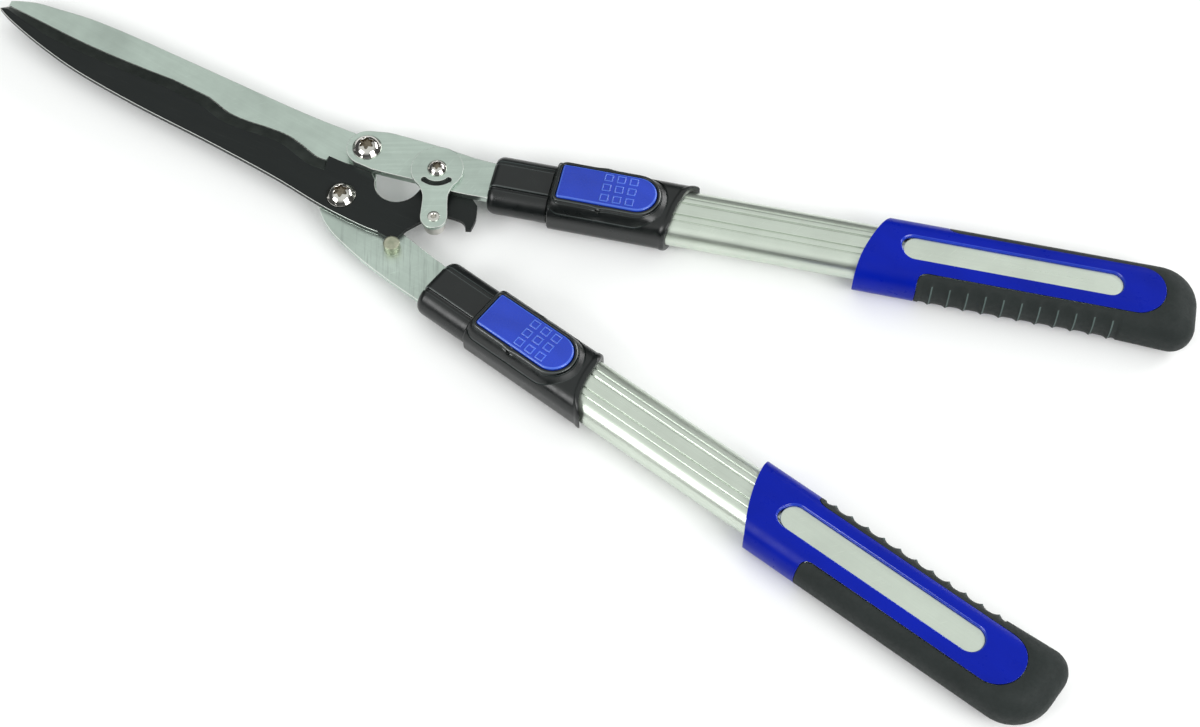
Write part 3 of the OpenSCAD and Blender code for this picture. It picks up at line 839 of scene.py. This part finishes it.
def turned(centre, profile, lobes=()):
    """A closed turned shape from (radius, z) pairs; a ring with a lobe share is star-shaped."""
    cx, cy = centre[0] / MM, centre[1] / MM
    rings = []
    for number, (r, z) in enumerate(profile):
        share = lobes[number] if number < len(lobes) else 0
        ring = []
        for i in range(SPOKES):
            a = 2 * math.pi * i / SPOKES
            radius = r * (1 + share * math.cos(6 * a))
            height = z(radius) if callable(z) else z
            ring.append((cx + radius * math.cos(a), cy + radius * math.sin(a), height))
        rings.append(ring)
    return rings


def dome_bolt(node, centre, seat, head_r, head_h, shank_r, socket_r):
    dome_r = (head_r ** 2 + head_h ** 2) / (2 * head_h)

    def dome(r):
        return seat + head_h - dome_r + math.sqrt(max(dome_r ** 2 - r ** 2, 0))

    def dome_less(r):
        return dome(r) - 0.14

    floor = seat + 0.4 * head_h
    rim_r = head_r - 0.02
    profile = [(0.2 * socket_r, floor - 0.25), (0.55 * socket_r, floor - 0.1), (0.8 * socket_r, floor),
               (0.84 * socket_r, floor + 0.12), (0.84 * socket_r, dome_less), (0.88 * socket_r, dome)]
    lobes = [0, 0.1, 0.19, 0.19, 0.19, 0.18]
    first = 1.16 * socket_r
    for i in range(7):
        profile.append((first + (head_r - 0.7 - first) * i / 6, dome))
    edge = dome(head_r - 0.7)
    profile += [(head_r - 0.35, edge - 0.32), (rim_r, edge - 0.75), (rim_r, seat + 0.2), (head_r - 0.2, seat)]
    low = bottom_of(node)
    profile += [(shank_r, seat), (shank_r, low + 0.4), (shank_r - 0.4, low)]
    shape = loft(turned(centre, profile, lobes))
    # The socket's walls and floor take the dark metal: painted shade.
    kinds = [1 if i < 4 * SPOKES else 0 for i in range(len(shape[1]))]
    kinds[-2] = 1
    show(node, shape, ["bolt_chrome", "socket"], kinds=kinds, sharp=38)


PLATE_TOP = top_of("link_plate")
WASHER_GAP = 0.05
PIVOT_BOLT = {"head_r": 8.2, "head_h": 5.2, "shank_r": 4, "socket_r": 4.1}
dome_bolt("main_pivot_bolt", MAIN, top_of("cutting_blade") + WASHER_GAP, **PIVOT_BOLT)
dome_bolt("handle_pivot_bolt", HANDLE, top_of("upper_tang") + WASHER_GAP, **PIVOT_BOLT)
dome_bolt("plate_bolt", CLOSER, PLATE_TOP, 5.4, 3.6, 3, 2.7)


def centre_of(node):
    low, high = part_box(node)
    return (low + high) / 2


def pin(node, profile, wrap=False, look="bolt_chrome"):
    show(node, loft(turned(centre_of(node), profile), wrap), [look])


STOP_TOP = top_of("stop_pin")
STOP_LOW = bottom_of("stop_pin")
FIXED_TOP = top_of("fixed_blade")
pin("stop_pin", [(3.2, STOP_TOP), (3.9, STOP_TOP - 0.06), (4.4, STOP_TOP - 0.35), (4.6, STOP_TOP - 0.9),
                 (4.6, FIXED_TOP + 0.1), (4.5, FIXED_TOP), (3.6, FIXED_TOP), (3.6, STOP_LOW + 0.3),
                 (3.2, STOP_LOW)], look="stop_zinc")

RIVET_TOP = top_of("roller_rivet")
RIVET_LOW = bottom_of("roller_rivet")
pin("roller_rivet", [(1.4, RIVET_TOP - 2.4), (1.4, RIVET_TOP - 0.25), (1.65, RIVET_TOP),
                     (2.9, RIVET_TOP - 0.02), (3.3, RIVET_TOP - 0.25), (3.4, PLATE_TOP + 0.02),
                     (2.5, PLATE_TOP), (2.5, RIVET_LOW + 1.5), (3.5, RIVET_LOW + 1.45),
                     (3.5, RIVET_LOW + 0.3), (3.2, RIVET_LOW)])


def roller(node, r, bore, look):
    low = bottom_of(node)
    high = top_of(node)
    pin(node, [(bore, high - 0.2), (bore + 0.25, high), (r - 0.4, high), (r - 0.1, high - 0.12),
               (r, high - 0.4), (r, low + 0.4), (r - 0.1, low + 0.12), (r - 0.4, low),
               (bore + 0.25, low), (bore, low + 0.2)], True, look)


roller("opening_roller", 5.9, 2.55, "bolt_chrome")
roller("closing_roller", 5, 3.05, "hardware_steel")

# ---- Collars and tubes ----

COLLAR = (TUBE_W + 1, TUBE_T + 1)
COLLAR_LEN = 34.0
GROOVE_EDGES = ((7.0, 7.6), (9.6, 10.3))
TUBE_FROM = 12.1
OUTER_FROM = 35.0
OUTER_TO = 378.0
BORE = (30.5, 16.0, 8.0)
INNER = (29.9, 15.4, 7.7)


def oval_inset(section, depth, size):
    return inset(section, depth, size[0], size[1], size[1] / 2)


def collar(side):
    outer = shouldered(*COLLAR)
    rings = [at(oval_inset(outer, d, COLLAR), s) for s, d in
             ((0, 4.2), (0.15, 3.0), (0.6, 1.9), (1.4, 1.0), (2.6, 0.35), (4.2, 0),
              (COLLAR_LEN - 0.8, 0), (COLLAR_LEN - 0.3, 0.15), (COLLAR_LEN, 0.5))]
    bore = onto(outer, INNER[0] + 0.1, INNER[1] + 0.1, INNER[2] + 0.05)
    rings += [at(bore, COLLAR_LEN), at(bore, TUBE_FROM)]
    shape = loft(rings)
    count = len(outer)
    middles = [abs(outer[i][0] + outer[(i + 1) % count][0]) / 2 for i in range(count)]
    # Faces at the groove edges get the lighter black: painted highlight.
    painted_highlight_band = [any(low <= middle <= high for low, high in GROOVE_EDGES) for middle in middles]
    kinds = [1 if i < 8 * count and painted_highlight_band[i % count] else 0 for i in range(len(shape[1]))]
    show(side.name + "_collar", shape, ["sleeve_plastic", "sleeve_edge"], side, kinds)


def outer_tube(side):
    size = (TUBE_W, TUBE_T)
    outer = banded(*size)
    bore = onto(outer, *BORE)
    rings = [at(oval_inset(outer, 0.3, size), OUTER_FROM), at(outer, OUTER_FROM + 0.3)]
    rings += [at(outer, OUTER_TO - 0.3), at(oval_inset(outer, 0.3, size), OUTER_TO)]
    rings += [at(bore, OUTER_TO), at(bore, OUTER_FROM)]
    show(side.name + "_outer_tube", loft(rings, True), [side.name + "_tube"], side)


# ---- Lock sleeves and buttons ----

SLEEVE = (37.1, 24.4, 9.5)
SLEEVE_FROM = 34.4
SLEEVE_REAR = [(-18.6, 100.5), (-12, 102.3), (0, 104), (11, 107.6), (18.6, 113.4)]
BUTTON_FROM = 38.4
BUTTON_REAR = 81.4
BUTTON_HALF = 11.0
BUTTON_GAP = 0.35
BUTTON_TOP = 16.6
BEZEL_TOP = 15.6
SKIRT = 6.1
SKIRT_TOP = 13.3
AXLE_H = 13.6
AXLE_HOLE_R = 1.45
POCKET_FLOOR = 10.1
ABOVE = 30
SPRING_AT = 83.4
SEAT_R = 3.5
GRID_AT = BUTTON_PIVOT + 9
GRID_PITCH = (7.0, 6.7)
SPRING_LOW = bottom_of("lower_button_spring") - MID_Z / MM
SPRING_TOP = top_of("lower_button_spring") - MID_Z / MM


def stadium(grow, nose=1.4, turns=26):
    """The button's plan, grown by a distance: square front with small corners, round rear."""
    half = BUTTON_HALF + grow
    front = BUTTON_FROM - grow
    r = max(nose + grow, 0.25)
    straight = BUTTON_REAR - front - r
    near = [(front + r - r * math.sin(a), -half + r - r * math.cos(a))
            for a in (math.pi / 12 * i for i in range(6, -1, -1))]
    near += [(front + r + straight * i / 32, -half) for i in range(1, 32)]
    rear = [(BUTTON_REAR + half * math.cos(a), half * math.sin(a))
            for a in (math.pi * (i / turns - 0.5) for i in range(turns + 1))]
    return near + rear + [(s, -w) for s, w in reversed(near)]


def lay(ring, h):
    return [(s, w, h(s, w) if callable(h) else h) for s, w in ring]


def skirted(grow, nose=2.2, front=SLEEVE_FROM + 0.3):
    """A stadium that stops at the sleeve's front and swells round the axle's bosses."""
    ring = []
    for s, w in stadium(grow, nose):
        on_side = abs(w) > BUTTON_HALF + grow - 0.01 and 1 < grow < 5
        boss = 0.6 * math.exp(-((s - BUTTON_PIVOT) / 3.2) ** 2) if on_side else 0
        ring.append((max(s, front), w + math.copysign(boss, w)))
    return ring


def crease(s, w):
    """Height of the skirt's foot, a little below the sleeve's surface."""
    width, depth, r = SLEEVE
    reach = max(abs(w) - (width / 2 - r), 0)
    return depth / 2 - r + math.sqrt(max(r * r - reach * reach, 0)) - 0.85


def skirt_height(share):
    return lambda s, w: SKIRT_TOP + (crease(s, w) - SKIRT_TOP) * share


def sleeve(side):
    def rear(back):
        return lambda w: spline(SLEEVE_REAR, w) - back

    outer = rounded(*SLEEVE)
    rings = [at(inset(outer, d, *SLEEVE), SLEEVE_FROM + s) for s, d in
             ((0, 1.2), (0.15, 0.6), (0.6, 0.15), (1.2, 0))]
    rings += [at(inset(outer, d, *SLEEVE), rear(back)) for back, d in
              ((4.2, 0), (3.4, -0.12), (2.8, -0.42), (2.0, -0.55), (0.9, -0.5), (0.3, -0.25), (0, 0.25))]
    bore_t = TUBE_T + 2 * BAND_H + 0.1
    bore = onto(outer, TUBE_W + 0.3, bore_t, bore_t / 2)
    rings += [at(bore, rear(0)), at(bore, rear(3)), at(bore, SLEEVE_FROM)]
    node = side.name + "_lock_sleeve"
    obj = raw(node + "_shown", *loft(rings, True), ["sleeve_plastic"], side)
    pocket = loft([lay(stadium(BUTTON_GAP), h) for h in (POCKET_FLOOR, ABOVE)])
    outside = skirted(SKIRT + 0.15)
    inside = skirted(1.0)
    step = loft([lay(outside, crease), lay(outside, ABOVE), lay(inside, ABOVE), lay(inside, crease)], True)
    cut(obj, [raw("pocket", *pocket, ["sleeve_plastic"], side), raw("step", *step, ["sleeve_plastic"], side)])
    settle(obj, node, side)

    profile = [(SKIRT, 4)] + [(grow, skirt_height(share)) for grow, share in
                              ((SKIRT, 1.0), (5.6, 0.9), (4.9, 0.7), (4.2, 0.48), (3.6, 0.3), (3.0, 0.11))]
    profile += [(2.62, 13.05), (2.4, SKIRT_TOP), (2.34, 14.5), (2.08, 15.15), (1.6, 15.5)]
    profile += [(1.1, BEZEL_TOP), (0.75, 15.5), (0.45, 15.2), (BUTTON_GAP, 14.7), (BUTTON_GAP, 4)]
    plan = [lay(skirted(grow), h) for grow, h in profile]
    verts, faces = loft(plan, True)
    # Rings 1, 7 and 10 of the bezel get the lighter black: painted highlight lines.
    kinds = [1 if i // len(plan[0]) in (1, 7, 10) else 0 for i in range(len(faces))]
    bezel = raw(side.name + "_bezel", verts, faces, ["sleeve_plastic", "sleeve_edge"], side, kinds)
    hole = loft([[(BUTTON_PIVOT + x, w, AXLE_H + y) for x, y in circle(AXLE_HOLE_R, 24)] for w in (-18, 18)])
    cut(bezel, [raw("axle_hole", *hole, ["sleeve_plastic"], side)])
    settle(bezel, node, side, sharp=28, replaces=False)


def button(side):
    def crown(s, w):
        return BUTTON_TOP - 0.5 * (w / BUTTON_HALF) ** 2 - 0.25 * smooth_step((46 - s) / 8)

    def under(drop):
        return lambda s, w: crown(s, w) - drop

    steps = [(0.25, 13.1), (0.03, 13.3), (0, under(1.1)), (0.06, under(0.72)), (0.24, under(0.4)),
             (0.55, under(0.17)), (1.0, under(0.04)), (1.6, crown), (3.2, crown), (5, crown), (7, crown),
             (9, crown), (10.4, crown)]
    plan = [lay(stadium(-d), h) for d, h in steps]
    verts, faces = loft(plan)
    # The rounded edge's rings 3 to 5 get the lighter blue: painted highlight.
    kinds = [1 if 3 <= i // len(plan[0]) <= 5 else 0 for i in range(len(faces))]
    node = side.name + "_button"
    body = raw(node + "_shown", verts, faces, ["button_plastic", "button_raised"], side, kinds)
    seat = loft([[(SPRING_AT + x, y, h) for x, y in circle(SEAT_R, 32)] for h in (10, SPRING_TOP + 0.1)])
    cut(body, [raw("seat", *seat, ["button_plastic"], side)])
    settle(body, node, side)
    parts = []
    frame_half = 2.4
    line = 0.75
    for i in (-1, 0, 1):
        for k in (-1, 0, 1):
            s0 = GRID_AT + GRID_PITCH[0] * i
            w0 = GRID_PITCH[1] * k
            h0 = crown(s0, w0)

            def square(half, h):
                r = 0.35 * half / frame_half
                ring = []
                for q in range(4):
                    for step in range(4):
                        a = math.pi / 2 * (q + step / 3)
                        cx = (half - r) * (1 if q in (0, 3) else -1)
                        cy = (half - r) * (1 if q in (0, 1) else -1)
                        ring.append((s0 + cx + r * math.cos(a), w0 + cy + r * math.sin(a), h0 + h))
                return ring

            levels = [(0, -0.5), (0, 0.2), (0.12, 0.32), (0.3, 0.36)]
            levels += [(line - d, h) for d, h in reversed(levels)]
            parts.append(loft([square(frame_half - d, h) for d, h in levels], True))
    # The squares are all in the lighter blue: painted highlight on their raised frames.
    raised = raw(side.name + "_button_grid", *join(*parts), ["button_raised"], side)
    settle(raised, node, side, replaces=False)


def spring(side, coil_r=2.65, wire_r=0.42, turns=4.5, around=10):
    """The button's return spring, built as a coil at rest."""
    node = side.name + "_button_spring"
    low = SPRING_LOW + wire_r + 0.05
    high = SPRING_TOP - wire_r - 0.05
    rings = []
    count = int(turns * 20)
    for i in range(count + 1):
        x = i / count
        a = 2 * math.pi * turns * x
        rise = smooth_step((x - 0.06) / 0.88) * 0.5 + 0.5 * x
        middle = low + (high - low) * rise
        rings.append([(SPRING_AT + (coil_r + out) * math.cos(a), (coil_r + out) * math.sin(a), middle + up)
                      for out, up in circle(wire_r, around)])
    obj = show(node, loft(rings), ["hardware_steel"], side, sharp=60)
    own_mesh(obj)


# ---- Grips ----

GRIP_HALF = 22.0
GRIP_TOP = 14.0
ROUND = 13.0
GRIP_END = 385.98
CAP = 364.0
HEEL = 374.0
HEEL_R = 12.0
FLARE = 2.0
PANEL = 14.5
PANEL_END = 353.0
BULGE = 3.0
RUBBER_IN = 238.0
RUBBER_OUT = 250.5
RIB_FROM = 246.0
RIB_PITCH = 9.6
RIBS = 11
WINDOW = (234.8, 338.2, 7.1)
FLARE_LEN = 40


def flare_at(s):
    return FLARE * unit((s - HEEL + FLARE_LEN) / FLARE_LEN)


def depth_at(s, w):
    """Distance from the grip's outline, which is open at the front."""
    if s > HEEL and w < -HEEL_R:
        return HEEL_R - math.hypot(s - HEEL, w + HEEL_R)
    if s > CAP and w > 0:
        return GRIP_HALF - math.hypot(s - CAP, w)
    return min(GRIP_HALF - w, GRIP_HALF + flare_at(s) + w, GRIP_END - s)


def swell(d):
    d = max(0.0, min(d, ROUND))
    return GRIP_TOP - ROUND + math.sqrt(ROUND ** 2 - (ROUND - d) ** 2)


def grip_columns():
    """Places round the grip's section as (w, sign of h), from the inner side over the top and back."""
    sides = [ROUND * (1 - math.cos(math.radians(a))) for a in (0, 7, 14, 21, 29, 37, 46, 55, 62)]
    inner = [-GRIP_HALF + d for d in sides if d < GRIP_HALF - PANEL - 0.5]
    panel = [-PANEL * math.cos(math.pi * i / 28) for i in range(29)]
    return inner + panel + [-w for w in reversed(inner)]


def front_edge(w):
    return 204.6 + 15.4 * (w + GRIP_HALF) / (2 * GRIP_HALF) - BULGE * (1 - (w / GRIP_HALF) ** 2)


def corner_shift(distance):
    """How far back the shell's end runs at a distance from the panel's border."""
    lean = max(0.0, 1 - distance / 4)
    return 5 * (1 - math.sqrt(max(0.0, 1 - lean ** 2)))


def join_edge(w):
    """Where the shell's full ring ends and only its panel goes on."""
    if abs(w) <= PANEL:
        return RUBBER_IN + 5 + (RUBBER_OUT - RUBBER_IN) * (w + PANEL) / (2 * PANEL)
    return (RUBBER_IN if w < 0 else RUBBER_OUT) + corner_shift(abs(w) - PANEL)


def grip_shell(side):
    columns = grip_columns()
    loop = [(w, 1) for w in columns] + [(w, -1) for w in reversed(columns)]
    rows = []
    count = 9
    for j in range(count + 1):
        t = j / count
        row = []
        for w, up in loop:
            s = front_edge(w) * (1 - t) + join_edge(w) * t
            row.append((s, w, up * swell(GRIP_HALF - abs(w))))
        rows.append(row)
    verts, faces = sheet(rows)
    n = len(loop)
    last = count * n
    on_panel = [i for i, (w, up) in enumerate(loop) if abs(w) <= PANEL + 1e-6]
    for up in (1, -1):
        line = [i for i in on_panel if loop[i][1] == up]
        before = [last + i for i in line]
        steps = 22
        for j in range(1, steps + 1):
            t = j / steps
            here = []
            for i in line:
                w = loop[i][0]
                end = PANEL_END + math.sqrt(max(PANEL ** 2 - w ** 2, 0))
                verts.append((join_edge(w) * (1 - t) + end * t, w, up * swell(GRIP_HALF - abs(w))))
                here.append(len(verts) - 1)
            for a in range(len(line) - 1):
                faces.append((before[a], before[a + 1], here[a + 1], here[a]))
            before = here
    node = side.name + "_grip_shell"
    obj = raw(node + "_shown", verts, faces, ["grip_plastic", "grip_edge"], side)
    # The bevel faces take the lighter blue: painted highlight along the shell's edges.
    finished(obj, [
        ("SOLIDIFY", {"thickness": 2.2 * MM, "offset": -1, "use_even_offset": True}),
        ("BEVEL", {"width": 0.5 * MM, "segments": 3, "limit_method": "ANGLE",
                   "angle_limit": math.radians(50), "profile": 0.6, "material": 1}),
    ])
    steps = [(0, 9), (0, 12.9), (0.1, 13.3), (0.35, 13.7), (0.7, 13.95), (1.0, 14.3), (1.0, 16)]
    cut(obj, [raw("window", *loft([lay(scooped(grow), h) for grow, h in steps]), ["grip_edge"], side)])
    settle(obj, node, side, sharp=40)

    web_outer = onto(banded(TUBE_W, TUBE_T), 2 * GRIP_HALF - 1.6, 2 * GRIP_TOP - 1.6, ROUND - 0.8)
    web_inner = banded(TUBE_W + 0.2, TUBE_T + 0.2)
    rings = []
    for section, back in ((web_outer, 1.2), (web_inner, 1.2), (web_inner, 9), (web_outer, 9)):
        rings.append([(front_edge(w) + back, w, h) for w, h in section])
    mouth = raw(side.name + "_grip_mouth", *loft(rings, True), ["grip_plastic"], side)
    settle(mouth, node, side, replaces=False)


def long_oval(start, end, half, grow, steps=20):
    r = half + grow
    angles = [math.pi * (i / steps - 0.5) for i in range(steps + 1)]
    arc = [(r * math.cos(a), r * math.sin(a)) for a in angles]
    return [(end + x, y) for x, y in arc] + [(start - x, -y) for x, y in arc]


def scooped(grow):
    """The window's outline, with a thumbnail recess round its front end towards the outer side."""
    ring = []
    for s, w in long_oval(*WINDOW, grow):
        front = max(0.0, (WINDOW[0] - s) / WINDOW[2])
        reach = 1.6 * front * smooth_step(0.5 + w / 8)
        ring.append((s - reach, w + 0.9 * front * smooth_step(w / 6)))
    return ring


def grip_path():
    """Points of the grip's outline from the rubber's inner front, round the end, to its outer front."""
    path = [(RUBBER_IN + 0.4, -GRIP_HALF)]
    s = RIB_FROM - 9 * RIB_PITCH / 12
    while s < RIB_FROM + RIBS * RIB_PITCH:
        path.append((s, -GRIP_HALF - flare_at(s)))
        s += RIB_PITCH / 12
    count = 10
    for i in range(count):
        x = s + (HEEL - s) * i / count
        path.append((x, -GRIP_HALF - flare_at(x)))
    for i in range(17):
        a = math.pi / 2 * (i / 16 - 1)
        path.append((HEEL + HEEL_R * math.cos(a), -HEEL_R + HEEL_R * math.sin(a)))
    path += [(GRIP_END, -HEEL_R * (1 - i / 4)) for i in range(1, 4)]
    for i in range(25):
        a = math.pi / 2 * i / 24
        path.append((CAP + GRIP_HALF * math.cos(a), GRIP_HALF * math.sin(a)))
    path += [(CAP + (RUBBER_OUT + 0.4 - CAP) * i / 30, GRIP_HALF) for i in range(1, 31)]
    return path


def border_of(p, gap):
    """The nearest place on the panel's border, moved out by the seam's gap."""
    r = PANEL + gap
    s, w = p
    if s < PANEL_END:
        return s, math.copysign(r, w)
    d = math.hypot(s - PANEL_END, w)
    return PANEL_END + (s - PANEL_END) * r / d, w * r / d


def ridge(s):
    """Finger ridges along the inner side: 1 on a crest, 0 between crests, or None beyond them."""
    first = RIB_FROM - RIB_PITCH / 2
    if s < first or s > first + RIBS * RIB_PITCH:
        return None
    part = (s - RIB_FROM) / RIB_PITCH % 1
    return (1 - abs(math.sin(math.pi * part))) ** 1.5


def grip_rubber(side):
    seam = 0.35
    rows = []
    path = grip_path()
    steps = 12
    for p in path:
        b = border_of(p, seam)
        here = []
        for k in range(steps + 1):
            g = (k / steps) ** 1.9
            s = p[0] + (b[0] - p[0]) * g
            w = p[1] + (b[1] - p[1]) * g
            if abs(w) > PANEL and s < RUBBER_IN + 20:
                start = (RUBBER_IN if w < 0 else RUBBER_OUT) + 0.4
                s += corner_shift(abs(w) - PANEL - seam) * max(0.0, 1 - (s - start) / 12)
            h = swell(depth_at(s, w))
            crest = ridge(p[0]) if p[1] < -GRIP_HALF + 1 else None
            tuck = 0.35 * smooth_step(1 - math.hypot(s - b[0], w - b[1]) / 1.6)
            push = 0
            if crest is not None:
                fade = 1 - smooth_step((g - 0.3) / 0.4)
                push = 1.15 * crest * (1 - g) ** 2
                scallop = 0.9 * (1 - crest) * fade
                lean = unit(depth_at(s, w) / ROUND)
                push -= scallop * (1 - lean)
                tuck += scallop * lean
            here.append((s, w - push, h - tuck))
        rows.append(here[::-1] + [(s, w, -h) for s, w, h in here])
    verts, faces = sheet(rows, around=False)
    node = side.name + "_grip_rubber"
    across = len(rows[0]) - 1
    kinds = []
    # Crest faces on the inner flank get the lighter rubber: painted highlight.
    for p in path[:-1]:
        on_crest = p[1] < -GRIP_HALF + 1 and (ridge(p[0]) or 0) > 0.9
        kinds += [1 if on_crest and min(i, across - 1 - i) > 4 else 0 for i in range(across)]
    obj = raw(node + "_shown", verts, faces, ["grip_rubber", "rubber_crest"], side, kinds)
    finished(obj, [
        ("SOLIDIFY", {"thickness": 1.6 * MM, "offset": -1, "use_even_offset": True}),
        ("BEVEL", {"width": 0.35 * MM, "segments": 2, "limit_method": "ANGLE",
                   "angle_limit": math.radians(60)}),
    ])
    settle(obj, node, side, sharp=50)


def grip_inlay(side):
    node = side.name + "_grip_inlay"
    floor = bottom_of(node) - MID_Z / MM
    top = top_of(node) - MID_Z / MM
    levels = [(-0.4, floor), (-0.1, floor + 0.2), (-0.1, top - 0.25), (-0.3, top - 0.06),
              (-0.8, top), (-3, top + 0.08)]
    plug = loft([lay(long_oval(*WINDOW, grow), h) for grow, h in levels])
    show(node, plug, [side.name + "_tube"], side)


for side in SIDES:
    collar(side)
    outer_tube(side)
    sleeve(side)
    button(side)
    spring(side)
    grip_shell(side)
    grip_rubber(side)
    grip_inlay(side)

# ---- Carried-over CAD nodes ----

for node, obj in frame["nodes"].items():
    if obj.hide_render:
        continue
    look = SLOT_OF[node]
    if look == "tube_aluminium":
        look = node.split("_")[0] + "_tube"
    if look not in LOOKS:
        look = "hardware_steel"
    if not obj.material_slots:
        obj.data.materials.append(LOOKS[look])
    for slot in obj.material_slots:
        slot.material = LOOKS[look]

# ---- Floor, light and camera ----

floor = Look("studio_floor", (0.93, 0.93, 0.93), 0.7)
paper = floor.noise(900, 3, 0.5)
floor.colour(floor.blend(paper, (0.92, 0.92, 0.92), (0.94, 0.94, 0.94)))
floor.bump((paper, 0.03, 0.0001))
FLOOR_HALF = 6.0
FLOOR_Z = -0.0003
mesh = bpy.data.meshes.new("studio_floor")
mesh.from_pydata([(x * FLOOR_HALF, y * FLOOR_HALF, FLOOR_Z) for x, y in ((-1, -1), (1, -1), (1, 1), (-1, 1))],
                 [], [(0, 1, 2, 3)])
mesh.materials.append(floor.material)
placed("studio_floor", mesh)

world = bpy.data.worlds.new("studio")
world.use_nodes = True
sky = world.node_tree
rise = add_node(sky, "SeparateXYZ", Vector=add_node(sky, "TexCoord").outputs["Generated"])
ceiling = add_node(sky, "MapRange", Value=rise.outputs["Z"], From_Min=0.4, From_Max=0.76,
                   To_Min=0.08, To_Max=0.88)
ceiling.interpolation_type = "SMOOTHSTEP"
put(sky.nodes["Background"], "Color", (0.97, 1.0, 0.98, 1))
put(sky.nodes["Background"], "Strength", ceiling.outputs["Result"])
bpy.context.scene.world = world


def softbox(name, place, aim, width, height, power):
    light = bpy.data.lights.new(name, "AREA")
    light.shape = "RECTANGLE"
    light.size = width
    light.size_y = height
    light.energy = power
    obj = placed(name, light)
    obj.location = place
    obj.rotation_euler = (Vector(aim) - Vector(place)).to_track_quat("-Z", "Y").to_euler()


softbox("left_softbox", (-0.55, -1.35, 1.0), (0, 0, 0), 1.0, 0.7, 13)
softbox("right_softbox", (1.4, -0.3, 1.0), (0, 0, 0), 1.0, 0.7, 15)
softbox("rear_softbox", (0.7, 1.4, 0.7), (0, 0, 0), 1.2, 0.4, 12)

CAMERA_AZIMUTH = math.radians(33)
CAMERA_ELEVATION = math.radians(60)
CAMERA_DISTANCE = 1.055
AIM = Vector((MAIN.x + 177.79 * MM, MAIN.y - 11.66 * MM, MID_Z))
back = Vector((math.sin(CAMERA_AZIMUTH) * math.cos(CAMERA_ELEVATION),
               -math.cos(CAMERA_AZIMUTH) * math.cos(CAMERA_ELEVATION), math.sin(CAMERA_ELEVATION)))
lens = bpy.data.cameras.new("camera")
lens.lens = 60.25
lens.sensor_width = 36
camera = placed("camera", lens)
camera.location = AIM + back * CAMERA_DISTANCE
camera.rotation_euler = back.to_track_quat("Z", "Y").to_euler()
bpy.context.scene.camera = camera
bpy.context.scene.view_settings.view_transform = "Standard"
